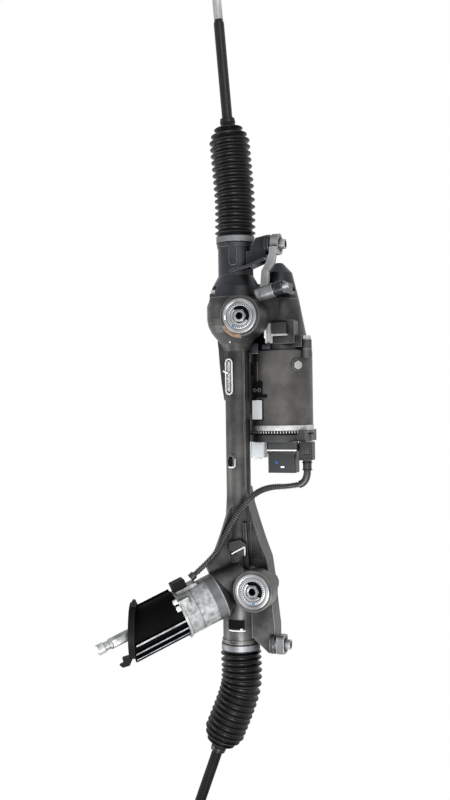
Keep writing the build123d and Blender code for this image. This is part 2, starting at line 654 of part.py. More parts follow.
# Motor, control unit and plugs
def motor_case():
    outer = rod_on(MOTOR, MOTOR_RADIUS, MOTOR_BOTTOM, MOTOR_TOP)
    top = outer.edges().filter_by(GeomType.CIRCLE).sort_by(Axis.Y)[-1]
    body = fillet(top, 3)
    body = fuse([body] + [rod_on(plane, 8, -13, 0) for plane in motor_bolt_planes(MOTOR_TOP)])
    side_pad = Plane(origin=(MOTOR_X - 27, 82, MOTOR_Z + 34), x_dir=(0, 1, 0), z_dir=(-0.62, 0, 0.78))
    body = body + side_pad.location * extrude(RectangleRounded(80, 20, 3), 6)
    body = body - side_pad.offset(4).location * (Pos(28, 2, 0) * extrude(RectangleRounded(18, 12, 2), 4))
    body = body + rod_on(GROUND_SCREW, 9, -8, 3)
    hollow = rod_on(MOTOR, MOTOR_RADIUS - MOTOR_WALL, MOTOR_BOTTOM - 1, MOTOR_TOP - 6)
    bore = rod_on(MOTOR, BEARING_RADIUS, MOTOR_TOP - 20, MOTOR_TOP + 1)
    holes = [rod_on(plane, MOTOR_BOLT_SHANK, -11, 1) for plane in motor_bolt_planes(MOTOR_TOP)]
    return body - hollow - bore - fuse(holes) - rod_on(GROUND_SCREW, 3, -2, 4)


def ground_screw():
    return bolt_on(Plane(origin=GROUND_SCREW.offset(3).origin, x_dir=(0, 1, 0),
                         z_dir=-GROUND_SCREW.z_dir), 3, 4, 6.5, 3.5)


GROUND_SCREW = Plane(
    origin=(MOTOR_X + 34.9, 115, MOTOR_Z + 35.1), x_dir=(0, 1, 0), z_dir=(0.705, 0, 0.709)
)


def stator():
    start = MOTOR_BOTTOM + STATOR_START
    return pipe_on(MOTOR, MOTOR_RADIUS - MOTOR_WALL, ROTOR_RADIUS + 1, start, start + STATOR_LENGTH)


def rotor():
    middle = MOTOR_BOTTOM + STATOR_START + STATOR_LENGTH / 2
    core = rod_on(MOTOR, ROTOR_RADIUS, middle - ROTOR_LENGTH / 2, middle + ROTOR_LENGTH / 2)
    return core + rod_on(MOTOR, ROTOR_SHAFT_RADIUS, MOTOR_BOTTOM + 8, BELT_END + 4)


def rotor_bearings():
    inner = ROTOR_SHAFT_RADIUS + RUNNING_FIT
    front = pipe_on(MOTOR, BEARING_RADIUS, inner, MOTOR_TOP - 15, MOTOR_TOP - 3)
    rear = pipe_on(MOTOR, MOTOR_RADIUS - MOTOR_WALL, inner, MOTOR_BOTTOM + 6, MOTOR_BOTTOM + 14)
    return [front, rear]


def motor_pulley():
    start = BELT_START - PULLEY_FLANGE
    end = BELT_END + PULLEY_FLANGE
    body = pipe_on(MOTOR, MOTOR_PULLEY_RADIUS, ROTOR_SHAFT_RADIUS, start, end)
    low = pipe_on(MOTOR, MOTOR_PULLEY_RADIUS + 2, ROTOR_SHAFT_RADIUS, start, BELT_START - BODY_GAP)
    high = pipe_on(MOTOR, MOTOR_PULLEY_RADIUS + 2, ROTOR_SHAFT_RADIUS, BELT_END + BODY_GAP, end)
    return body + low + high


def drive_belt():
    nut_side = NUT_PULLEY_RADIUS + BODY_GAP
    motor_side = MOTOR_PULLEY_RADIUS + BODY_GAP
    inner = case_block(nut_side, motor_side, BELT_START - 1, BELT_END + 1)
    return case_block(nut_side + BELT_THICKNESS, motor_side + BELT_THICKNESS, BELT_START, BELT_END) - inner


def ring_band():
    inner = MOTOR_RADIUS - MOTOR_WALL
    return pipe_on(MOTOR, MOTOR_RADIUS + 1, inner, MOTOR_BOTTOM - BAND_LENGTH, MOTOR_BOTTOM)


def control_cover():
    top = MOTOR_BOTTOM - BAND_LENGTH
    body = rod_on(MOTOR, MOTOR_RADIUS - 0.5, top - COVER_LENGTH, top)
    side = Pos((COVER_LEFT + COVER_RIGHT) / 2, top - COVER_LENGTH / 2, MOTOR_Z) * Box(
        COVER_RIGHT - COVER_LEFT, COVER_LENGTH, 2 * (MOTOR_RADIUS - 14.5))
    nose = Pos(POWER_X + 1.5, COVER_END - NOSE_LENGTH / 2, CONNECTOR_Z) * Box(48, NOSE_LENGTH, 34)
    nose = fillet(nose.edges().filter_by(Axis.Y), 4)
    return body + side + nose


def power_connector():
    top = COVER_END - NOSE_LENGTH
    body = Pos(POWER_X, top - 16.5, CONNECTOR_Z) * Box(42, 33, 28)
    body = fillet(body.edges().filter_by(Axis.Y), 3)
    return body - Pos(POWER_X, top - 21.5, CONNECTOR_Z) * Box(36, 24, 22)


def capped_connector():
    body = Pos(CAPPED_X, COVER_END - 12, CONNECTOR_Z - 4) * Box(21.5, 24, 22)
    return fillet(body.edges().filter_by(Axis.Y), 3)


def sensor_plug():
    body = Pos(PLUG_X, COVER_END - PLUG_LENGTH / 2, CONNECTOR_Z + 2) * Box(20.5, PLUG_LENGTH, 22)
    body = fillet(body.edges().filter_by(Axis.Y), 3)
    tail = rod_on(Plane(origin=(PLUG_X, COVER_END - PLUG_LENGTH, CONNECTOR_Z + 2), z_dir=(0, -1, 0)),
                  6.5, 0, TAIL_LENGTH)
    return body + tail


# Rack bar and pinion
def tooth_gap_centres():
    pitch = math.pi * TOOTH_MODULE
    count = math.ceil((RACK_TRAVEL + PINION_FACE / 2) / pitch)
    return [pitch * index for index in range(-count, count + 1)]


def rack_bar():
    bar = rod_on(RACK, RACK_RADIUS, -RACK_HALF, RACK_HALF)
    teeth = Plane(origin=(0, PINION_Y, 0), x_dir=(0, 1, 0), z_dir=NORMAL)
    slope = math.tan(math.radians(PRESSURE_ANGLE))
    half_gap = (pinion_tooth_thickness() + TOOTH_BACKLASH) / 2
    top = PITCH_LINE + RACK_ADDENDUM
    root = PITCH_LINE - RACK_DEDENDUM
    wide = half_gap + (RACK_ADDENDUM + 1) * slope
    narrow = half_gap - RACK_DEDENDUM * slope
    centres = tooth_gap_centres()
    gaps = []
    for centre in centres:
        gap = Polyline([(centre - narrow, 0, root), (centre + narrow, 0, root),
                        (centre + wide, 0, top + 1), (centre - wide, 0, top + 1)], close=True)
        gaps.append(extrude(make_face(gap), RACK_RADIUS, both=True, dir=(0, 1, 0)))
    length = centres[-1] - centres[0] + 2 * wide
    flat = Pos(0, 0, top) * Box(length, 2 * RACK_RADIUS, RACK_RADIUS, align=BASE)
    bar = bar - teeth.location * flat
    return bar - [teeth.location * gap for gap in gaps]


def pinion_tooth_thickness():
    slope = math.tan(math.radians(PRESSURE_ANGLE))
    return math.pi * TOOTH_MODULE / 2 + 2 * TOOTH_SHIFT * slope


def involute(angle):
    return math.tan(angle) - angle


def pinion_outline(turn):
    transverse = math.atan(math.tan(math.radians(PRESSURE_ANGLE)) / CROSS_SIN)
    base = PITCH_RADIUS * math.cos(transverse)
    at_pitch = pinion_tooth_thickness() / CROSS_SIN / (2 * PITCH_RADIUS)
    flank = []
    for radius in (PITCH_RADIUS - PINION_DEDENDUM, PITCH_RADIUS, PITCH_RADIUS + PINION_ADDENDUM):
        reach = math.acos(min(1, base / radius))
        flank.append((radius, at_pitch + involute(transverse) - involute(reach)))
    points = []
    for tooth in range(PINION_TEETH):
        centre = math.pi + turn + tooth * 2 * math.pi / PINION_TEETH
        places = [(r, centre - half) for r, half in flank] + [(r, centre + half) for r, half in flank[::-1]]
        points = points + [(r * math.cos(a), r * math.sin(a)) for r, a in places]
    return points


def pinion():
    sections = []
    for step in range(TWIST_STEPS + 1):
        height = PINION_FACE * (step / TWIST_STEPS - 0.5)
        turn = -height * CROSS_COS / CROSS_SIN / PITCH_RADIUS
        outline = Polyline([(x, y, height) for x, y in pinion_outline(turn)], close=True)
        sections.append(make_face(outline))
    toothed = PINION.location * loft(sections, ruled=True)
    half = PINION_FACE / 2
    tail = rod_on(PINION, PINION_TAIL_RADIUS, -half - PINION_BEARING_WIDTH, -half)
    neck = rod_on(PINION, PINION_SHAFT_RADIUS, half, half + 16)
    head = rod_on(PINION, SENSOR_ROTOR_RADIUS, half + 16, TOWER_START + 20)
    socket = rod_on(PINION, INPUT_RADIUS + RUNNING_FIT, TOWER_START + 4, TOWER_START + 21)
    return tail + toothed + neck + head - socket - rod_on(PINION, TORSION_RADIUS, half, TOWER_START + 5)


def torsion_bar():
    return rod_on(PINION, TORSION_RADIUS, PINION_FACE / 2, TORSION_END)


def input_shaft():
    start = TOWER_START + 4.5
    shaft = rod_on(PINION, INPUT_RADIUS, start, INPUT_TIP)
    tip = shaft.edges().filter_by(GeomType.CIRCLE).sort_by(Axis.X)[0]
    shaft = chamfer(tip, 1.5)
    groove_start = INPUT_TIP - INPUT_SPLINE
    groove = pipe_on(PINION, INPUT_RADIUS + 1, INPUT_RADIUS - 1.6, groove_start, groove_start + 8)
    flat = PINION.offset(INPUT_TIP - 50).location * (Pos(INPUT_RADIUS, 0, 0) * Box(3, 20, 26, align=BASE))
    return shaft - groove - flat - rod_on(PINION, TORSION_RADIUS + 0.8, start - 1, TORSION_END + 1)


def pinion_bearings():
    half = PINION_FACE / 2
    lower = pipe_on(PINION, TAIL_BEARING_RADIUS, PINION_TAIL_RADIUS + RUNNING_FIT,
                    -half - PINION_BEARING_WIDTH, -half - 0.5)
    upper = pipe_on(PINION, PINION_BEARING_RADIUS, PINION_SHAFT_RADIUS + RUNNING_FIT,
                    half + 2, half + 2 + PINION_BEARING_WIDTH)
    return [lower, upper]


# Torque sensor tower, column boot and plugs on the tower
def sensor_housing():
    body = rod_on(TOWER, TOWER_RADIUS, TOWER_START, TOWER_END)
    body = body + rod_on(TOWER, TOWER_RADIUS + 2.5, TOWER_END - 2.5, TOWER_END)
    pad_plane = TOWER.offset(TOWER_END - 38)
    connector_pad = pad_plane.location * (Pos(0, TOWER_RADIUS - 6, 0) * Box(26, 16, 34, align=BASE))
    front_pad = TOWER.offset(TOWER_END - 16).location * (
        Pos(TOWER_RADIUS - 12, 18, 0) * Box(20, 18, 16, align=BASE))
    body = body + connector_pad + front_pad
    hollow = rod_on(TOWER, TOWER_RADIUS - TOWER_WALL, TOWER_START - 1, TOWER_END - 6)
    return body - hollow - rod_on(PINION, SEAL_RADIUS, TOWER_END - 7, TOWER_END + 1)


def input_seal():
    return pipe_on(PINION, SEAL_RADIUS, INPUT_RADIUS + RUNNING_FIT, TOWER_END - 6, TOWER_END - 1)


def torque_sensor():
    ring = rod_on(TOWER, TOWER_RADIUS - TOWER_WALL, TOWER_START + 2, TOWER_START + 18)
    return ring - rod_on(PINION, SENSOR_ROTOR_RADIUS + 1, TOWER_START + 1, TOWER_START + 19)


def tower_connector():
    place = TOWER.offset(TOWER_END - 24.5).location
    body = place * (Pos(0, TOWER_RADIUS + 8, 0) * Box(22, 12, 21, align=BASE))
    return fillet(body.edges().filter_by(GeomType.LINE), 1.5)


def cable_plug():
    start = Vector(*CABLE_ROUTE[-1])
    way = (start - Vector(*CABLE_ROUTE[-2])).normalized()
    collar = Plane(origin=start, z_dir=way)
    return rod_on(collar, CABLE_RADIUS + 1.5, 0, 8.5)


def boot_plane(height):
    return PINION.shift_origin(PINION.origin - PINION.y_dir * BOOT_OFFSET).offset(height)


def bulkhead_plane():
    origin = PINION.origin + PINION.z_dir * BULKHEAD_REACH
    return Plane(origin=origin, x_dir=(0, 1, 0), z_dir=(-BULKHEAD_COS, 0, BULKHEAD_SIN))


def column_boot():
    body = pipe_on(boot_plane(0), BOOT_RADIUS, BOOT_RADIUS - BOOT_WALL, TOWER_END, BOOT_FAR)
    beyond = bulkhead_plane().location * Box(200, 200, 120, align=BASE)
    return fuse([body] + boot_ribs()) - beyond


def boot_ribs():
    ribs = []
    for index in range(BOOT_RIBS):
        angle = BOOT_RIB_START - BOOT_RIB_STEP * index
        rib = Pos(BOOT_RADIUS + 1, 0, 0) * Box(5, 3, BOOT_FAR - TOWER_END, align=BASE)
        ribs.append(boot_plane(TOWER_END).location * Rot(0, 0, angle) * rib)
    return ribs


def bulkhead_plate():
    plate = bulkhead_plane().location * extrude(Circle(40), BULKHEAD_THICKNESS)
    hole = bulkhead_plane().offset(-1).location * extrude(Circle(BOOT_RADIUS - 10), 20)
    return plate - hole


# Yoke, bushes and stops inside the housing
def yoke():
    body = rod_on(YOKE, YOKE_RADIUS, YOKE_START, RACK_RADIUS + YOKE_LENGTH - 5)
    pocket = rod_on(YOKE, YOKE_RADIUS - 5, RACK_RADIUS + YOKE_LENGTH - 11, RACK_RADIUS + YOKE_LENGTH)
    groove = pipe_on(YOKE, YOKE_RADIUS + 1, YOKE_RADIUS - 2, YOKE_GROOVE, YOKE_GROOVE + 3)
    return body - rod_on(RACK, RACK_RADIUS + RUNNING_FIT, -RACK_HALF, RACK_HALF) - pocket - groove


def yoke_o_ring():
    return pipe_on(YOKE, YOKE_RADIUS + RUNNING_FIT, YOKE_RADIUS - 2, YOKE_GROOVE, YOKE_GROOVE + 3)


def yoke_spring():
    end = RACK_RADIUS + YOKE_LENGTH
    return pipe_on(YOKE, YOKE_RADIUS - 6, YOKE_RADIUS - 9, end - 11, end)


def yoke_plug():
    start = RACK_RADIUS + YOKE_LENGTH
    plug = rod_on(YOKE, YOKE_RADIUS + RUNNING_FIT, start, start + YOKE_PLUG_LENGTH + 1)
    socket = YOKE.offset(start + 4).location * extrude(RegularPolygon(8, 6), YOKE_PLUG_LENGTH)
    return plug - socket


def rack_bush():
    start = -LOWER_NECK_START - 26
    return pipe_on(RACK, BORE_RADIUS, RACK_RADIUS + RUNNING_FIT, start, start + 16)


def end_stop(side):
    stop = pipe_on(RACK, COUNTERBORE_RADIUS, RACK_RADIUS + 1, COUNTERBORE_END, STOP_FACE)
    return stop if side > 0 else stop.mirror(Plane.XZ)


# Ball nut drive on the rack bar
def ball_nut():
    body = rod_on(RACK, NUT_RADIUS, NUT_START, NUT_BEARING_START)
    return body + rod_on(RACK, NUT_RADIUS - 2, NUT_BEARING_START, NUT_END) - rod_on(
        RACK, RACK_RADIUS + RUNNING_FIT, NUT_START - 1, NUT_END + 1)


def nut_pulley():
    rim = pipe_on(RACK, NUT_PULLEY_RADIUS, NUT_PULLEY_RADIUS - 4, BELT_START, BELT_END)
    disc = pipe_on(RACK, NUT_PULLEY_RADIUS - 4, NUT_RADIUS, BELT_Y - 3, BELT_Y + 3)
    hub = pipe_on(RACK, NUT_RADIUS + 4, NUT_RADIUS, BELT_Y - 8, BELT_Y + 8)
    return rim + disc + hub


def nut_bearing():
    return pipe_on(RACK, NUT_BEARING_RADIUS, NUT_RADIUS - 2 + RUNNING_FIT, NUT_BEARING_START + 0.3,
                   NUT_BEARING_START + NUT_BEARING_WIDTH)


def bearing_retainer():
    return pipe_on(RACK, NUT_BEARING_RADIUS, NUT_RADIUS + 1, NUT_BEARING_START - RETAINER_WIDTH + 1,
                   NUT_BEARING_START + 0.3)


# Ball joints and tie rods
def ball_plane(side):
    return Plane(origin=(0, side * BALL_Y, 0), x_dir=(1, 0, 0), z_dir=(0, side, 0))


def rod_plane(side):
    tilt = math.radians(UPPER_TILT if side > 0 else LOWER_TILT)
    direction = (-math.sin(tilt), side * math.cos(tilt), 0)
    return Plane(origin=(0, side * BALL_Y, 0), x_dir=(0, 0, 1), z_dir=direction)


def ball_socket(side):
    plane = ball_plane(side)
    cup = rod_on(plane, SOCKET_RADIUS, SOCKET_FACE - BALL_Y, SOCKET_LIP)
    flats = plane.offset(SOCKET_FACE - BALL_Y).location * extrude(
        RegularPolygon(SOCKET_RADIUS + 1, 6), 9)
    face = SOCKET_FACE - BALL_Y
    waist = pipe_on(plane, SOCKET_RADIUS + 1, SOCKET_RADIUS - 1.5, face, face + 9)
    cavity = plane.location * Sphere(BALL_RADIUS + SEAT_WALL + RUNNING_FIT)
    return cup - (waist - flats) - cavity


def ball_seat(side):
    plane = rod_plane(side)
    shell = plane.location * (Sphere(BALL_RADIUS + SEAT_WALL) - Sphere(BALL_RADIUS + RUNNING_FIT))
    return shell - rod_on(plane, BALL_RADIUS + SEAT_WALL + 1, SOCKET_LIP, 2 * BALL_RADIUS)


def tie_rod(side):
    plane = rod_plane(side)
    stem = turned_on(plane, [
        (0, 0), (ROD_NECK_RADIUS, 0), (ROD_NECK_RADIUS, 22), (ROD_RADIUS, 34),
        (ROD_RADIUS, ROD_SHOULDER - 4), (ROD_RADIUS - 1.5, ROD_SHOULDER), (ROD_THREAD_RADIUS, ROD_SHOULDER),
        (ROD_THREAD_RADIUS, ROD_LENGTH - 2), (ROD_THREAD_RADIUS - 1.5, ROD_LENGTH), (0, ROD_LENGTH),
    ])
    return stem + plane.location * Sphere(BALL_RADIUS)


# Bellows with their clamps
def collar_start(side):
    return UPPER_COLLAR if side > 0 else LOWER_COLLAR


def bellows_line(side):
    start = Vector(0, side * (CUFF_START + CUFF_LENGTH), 0)
    plane = rod_plane(side)
    end = plane.origin + plane.z_dir * collar_start(side)
    return Spline([start, plane.origin, end], tangents=[Vector(0, side, 0), plane.z_dir])


def line_plane(line, share):
    tangent = line % share
    return Plane(origin=line @ share, x_dir=(0, 0, 1), z_dir=tangent)


def bellows_outline():
    steps = 2 * BELLOWS_FOLDS
    outline = [(0.0, CUFF_RADIUS + 0.2)]
    for step in range(1, steps):
        share = (step - 0.2) / steps
        taper = min(1, (1 - share) * BELLOWS_FOLDS / BELLOWS_SHOULDER)
        crest = COLLAR_RADIUS + 2 + (BELLOWS_CREST - COLLAR_RADIUS - 2) * taper ** 0.6
        outline.append((share, crest if step % 2 else crest - BELLOWS_CREST + BELLOWS_VALLEY))
    outline.append((1.0, COLLAR_RADIUS + 0.4))
    return outline


def lofted_along(line, outline):
    sections = [line_plane(line, share).location * Circle(radius) for share, radius in outline]
    return loft(sections, ruled=True)


def bellows(side):
    line = bellows_line(side)
    hollow = [(0.0, NECK_RADIUS - 0.3), (0.25, BELLOWS_INNER), (0.7, BELLOWS_INNER),
              (0.84, BELLOWS_INNER - 3), (0.93, BELLOWS_INNER - 9), (1.0, ROD_RADIUS + 0.5)]
    folds = lofted_along(line, bellows_outline()) - lofted_along(line, hollow)
    cuff_plane = Plane(origin=(0, 0, 0), x_dir=(1, 0, 0), z_dir=(0, side, 0))
    cuff = pipe_on(cuff_plane, CUFF_RADIUS, NECK_RADIUS, CUFF_START, CUFF_START + CUFF_LENGTH + 0.4)
    groove = pipe_on(cuff_plane, CUFF_RADIUS + 1, CUFF_RADIUS - CLAMP_THICKNESS,
                     CLAMP_START, CLAMP_START + CLAMP_WIDTH)
    start = collar_start(side)
    collar = pipe_on(rod_plane(side), COLLAR_RADIUS, ROD_RADIUS + 0.1, start - 0.5, start + COLLAR_LENGTH)
    return folds + (cuff - groove) + (collar - small_clamp(side))


def large_clamp(side):
    plane = Plane(origin=(0, 0, 0), x_dir=(1, 0, 0), z_dir=(0, side, 0))
    end = CLAMP_START + CLAMP_WIDTH
    band = pipe_on(plane, CUFF_RADIUS + 0.2, CUFF_RADIUS - CLAMP_THICKNESS, CLAMP_START, end)
    ear = Pos(0, side * (CLAMP_START + CLAMP_WIDTH / 2), -CUFF_RADIUS - 2) * Box(7, CLAMP_WIDTH, 5)
    return band + ear


def small_clamp(side):
    start = collar_start(side) + (COLLAR_LENGTH - SMALL_CLAMP_WIDTH) / 2
    end = start + SMALL_CLAMP_WIDTH
    return pipe_on(rod_plane(side), COLLAR_RADIUS + 0.5, COLLAR_RADIUS - 1, start, end)


# Sensor cable
CABLE_ROUTE = [
    (87.9, -62.9, -20), (70.7, -66.0, -17), (53.8, -65.5, -8), (39.0, -68.5, 6.5), (27.0, -77.0, 19.5),
    (15.6, -91.8, 26.5), (2.9, -111.6, 31.0), (-9.1, -133.4, 35.0), (-19.8, -155.0, 39.0),
    (-34.6, -173.6, 45.0), (-52.2, -190.4, 54),
]


def corner_radii(points):
    places = [Vector(*point) for point in points]
    runs = [end - start for start, end in zip(places, places[1:])]
    radii = []
    for before, after in zip(runs, runs[1:]):
        turn = math.radians(before.get_angle(after))
        radii.append(0.45 * min(before.length, after.length) / math.tan(turn / 2))
    return radii


def sensor_cable():
    radii = corner_radii(CABLE_ROUTE)
    line = FilletPolyline(*CABLE_ROUTE, radius=radii)
    start = Plane(origin=line @ 0, z_dir=line % 0)
    return sweep(start.location * Circle(CABLE_RADIUS), path=line)


def plug_elbow():
    end = Vector(*CABLE_ROUTE[0])
    way = (end - Vector(*CABLE_ROUTE[1])).normalized()
    top = Vector(PLUG_X, COVER_END - PLUG_LENGTH - TAIL_LENGTH, CONNECTOR_Z + 2)
    bend = Spline([end, top], tangents=[way, Vector(0, 1, 0)])
    return sweep(Plane(origin=end, z_dir=way).location * Circle(CABLE_RADIUS + 1.2), path=bend)


NODES = {
    "rack_housing": rack_housing,
    "drive_housing": drive_housing,
    "case_bolts": case_bolts,
    "motor_bolts": motor_bolts,
    "support_bracket": support_bracket,
    "bracket_bolt": bracket_bolt,
    "angle_bracket": angle_bracket,
    "bracket_block": bracket_block,
    "bush_shells": lambda: [bush_shell(UPPER_BUSH), bush_shell(LOWER_BUSH)],
    "bush_rubbers": lambda: [bush_rubber(UPPER_BUSH), bush_rubber(LOWER_BUSH)],
    "bush_cores": lambda: [bush_core(UPPER_BUSH), bush_core(LOWER_BUSH)],
    "side_mount_blocks": lambda: [side_block(LOWER_SIDE)],
    "side_rubbers": lambda: [side_rubber(UPPER_SIDE), side_rubber(LOWER_SIDE)],
    "side_washers": lambda: [side_washer(UPPER_SIDE), side_washer(LOWER_SIDE)],
    "side_sleeves": lambda: [side_sleeve(UPPER_SIDE), side_sleeve(LOWER_SIDE)],
    "motor_case": motor_case,
    "ground_screw": ground_screw,
    "stator": stator,
    "rotor": rotor,
    "rotor_bearings": rotor_bearings,
    "motor_pulley": motor_pulley,
    "drive_belt": drive_belt,
    "ring_band": ring_band,
    "control_cover": control_cover,
    "power_connector": power_connector,
    "capped_connector": capped_connector,
    "sensor_plug": lambda: [sensor_plug() + plug_elbow()],
    "sensor_cable": sensor_cable,
    "cable_plug": cable_plug,
    "rack_bar": rack_bar,
    "rack_bush": rack_bush,
    "end_stops": lambda: [end_stop(1), end_stop(-1)],
    "pinion": pinion,
    "torsion_bar": torsion_bar,
    "input_shaft": input_shaft,
    "pinion_bearings": pinion_bearings,
    "sensor_housing": sensor_housing,
    "torque_sensor": torque_sensor,
    "tower_connector": tower_connector,
    "input_seal": input_seal,
    "column_boot": column_boot,
    "bulkhead_plate": bulkhead_plate,
    "yoke": yoke,
    "yoke_o_ring": yoke_o_ring,
    "yoke_spring": yoke_spring,
    "yoke_plug": yoke_plug,
    "ball_nut": ball_nut,
    "nut_pulley": nut_pulley,
    "nut_bearing": nut_bearing,
    "bearing_retainer": bearing_retainer,
    "ball_sockets": lambda: [ball_socket(1), ball_socket(-1)],
    "upper_ball_seat": lambda: ball_seat(1),
    "lower_ball_seat": lambda: ball_seat(-1),
    "upper_tie_rod": lambda: tie_rod(1),
    "lower_tie_rod": lambda: tie_rod(-1),
    "upper_bellows": lambda: bellows(1),
    "lower_bellows": lambda: bellows(-1),
    "bellows_clamps": lambda: [large_clamp(1), large_clamp(-1)],
    "upper_rod_clamp": lambda: small_clamp(1),
    "lower_rod_clamp": lambda: small_clamp(-1),
}


def export_all():
    os.makedirs("parts", exist_ok=True)
    shift = Pos(-UPPER_BUSH_X, -UPPER_BUSH_Y, -BUSH_TOP)
    for name, make in NODES.items():
        made = make()
        solids = []
        for piece in made if isinstance(made, list) else [made]:
            solids = solids + list((shift * piece).solids())
        shape = solids[0] if len(solids) == 1 else Compound(children=solids)
        export_step(shape, f"parts/{name}.step")


if __name__ == "__main__":
    export_all()
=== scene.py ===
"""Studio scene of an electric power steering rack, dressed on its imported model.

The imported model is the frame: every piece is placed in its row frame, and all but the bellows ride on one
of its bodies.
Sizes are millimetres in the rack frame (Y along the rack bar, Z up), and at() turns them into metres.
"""
import logging
import math
from collections.abc import Callable
from dataclasses import dataclass
from enum import Enum

import bpy
from mathutils import Matrix, Vector


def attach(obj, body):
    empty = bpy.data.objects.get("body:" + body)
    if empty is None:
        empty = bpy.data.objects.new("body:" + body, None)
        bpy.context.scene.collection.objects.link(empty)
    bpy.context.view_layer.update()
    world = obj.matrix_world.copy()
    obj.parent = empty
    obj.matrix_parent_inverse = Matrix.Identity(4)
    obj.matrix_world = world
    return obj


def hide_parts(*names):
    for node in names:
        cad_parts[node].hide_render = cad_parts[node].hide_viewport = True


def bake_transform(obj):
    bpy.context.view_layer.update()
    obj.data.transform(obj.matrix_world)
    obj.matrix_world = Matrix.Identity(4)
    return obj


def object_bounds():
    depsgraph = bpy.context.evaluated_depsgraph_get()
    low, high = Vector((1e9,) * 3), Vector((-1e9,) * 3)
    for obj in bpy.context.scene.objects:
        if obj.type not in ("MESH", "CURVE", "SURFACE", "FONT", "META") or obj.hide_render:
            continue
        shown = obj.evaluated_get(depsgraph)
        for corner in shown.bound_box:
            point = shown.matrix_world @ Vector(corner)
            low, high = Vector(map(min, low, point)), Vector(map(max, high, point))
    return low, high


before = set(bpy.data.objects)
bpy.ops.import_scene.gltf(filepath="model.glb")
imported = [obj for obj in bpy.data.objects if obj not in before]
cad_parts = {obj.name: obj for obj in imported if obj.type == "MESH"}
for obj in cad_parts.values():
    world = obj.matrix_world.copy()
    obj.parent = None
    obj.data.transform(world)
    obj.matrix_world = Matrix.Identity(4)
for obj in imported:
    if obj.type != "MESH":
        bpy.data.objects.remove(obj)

CAD_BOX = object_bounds()
LOG = logging.getLogger("steering_rack")
MM = 0.001
FULL_TURN = 360.0
HALF_TURN = 180.0
Place = tuple[float, float, float]
Outline = list[tuple[float, float]]
Socket = bpy.types.NodeSocket
Inputs = dict[str | int, object]

# The row frame's origin is on top of the upper bush, and this is its place in the rack frame
UPPER_BUSH_X = 24.3
UPPER_BUSH_Y = 185.2
BUSH_TOP = 61.0

# Camera, fitted to the photograph's view; the focal share is its focal length over the picture's height
CAMERA_TILT = math.radians(19.0)
CAMERA_ROLL = math.radians(0.79)
CAMERA_DISTANCE = 1500.0
CAMERA_ACROSS = -18.9
CAMERA_ALONG = 64.5
FOCAL_SHARE = 1000.0 / 800.0
SENSOR = 36.0


def at(x: float, y: float, z: float) -> Vector:
    """Turn a place in the rack frame into the row frame.

    Args:
        x: Millimetres towards the motor.
        y: Millimetres along the rack bar.
        z: Millimetres up.

    Returns:
        The same place in metres in the row frame.
    """
    return Vector((x - UPPER_BUSH_X, y - UPPER_BUSH_Y, z - BUSH_TOP)) * MM


def basis(origin: Vector, along: Vector, side: Vector) -> Matrix:
    """Make a placing matrix whose Z runs along a direction.

    Args:
        origin: Place of the local origin, in metres.
        along: Direction of the local Z axis.
        side: Rough direction of the local X axis.

    Returns:
        A right-handed 4 by 4 matrix.
    """
    z_axis = along.normalized()
    x_axis = (side - z_axis * side.dot(z_axis)).normalized()
    y_axis = z_axis.cross(x_axis)
    matrix = Matrix((x_axis, y_axis, z_axis)).transposed().to_4x4()
    matrix.translation = origin
    return matrix


def linear(red: int, green: int, blue: int) -> tuple[float, float, float, float]:
    """Turn a display colour of 0 to 255 into a linear one.

    Args:
        red: Red as shown on a screen.
        green: Green as shown on a screen.
        blue: Blue as shown on a screen.

    Returns:
        The linear colour with an alpha of 1.
    """
    parts = [channel / 255 for channel in (red, green, blue)]
    straight = [part / 12.92 if part <= 0.04045 else ((part + 0.055) / 1.055) ** 2.4 for part in parts]
    return (straight[0], straight[1], straight[2], 1.0)


class Body(Enum):
    """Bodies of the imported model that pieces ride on."""

    HOUSING = "housing"
    RACK = "rack"
    UPPER_SEAT = "upper_seat"
    LOWER_SEAT = "lower_seat"
    UPPER_ROD = "upper_rod"
    LOWER_ROD = "lower_rod"


class Grain(Enum):
    """Surface grains that a finish can carry."""

    CAST = "cast"
    TURNED = "turned"
    SMOOTH = "smooth"


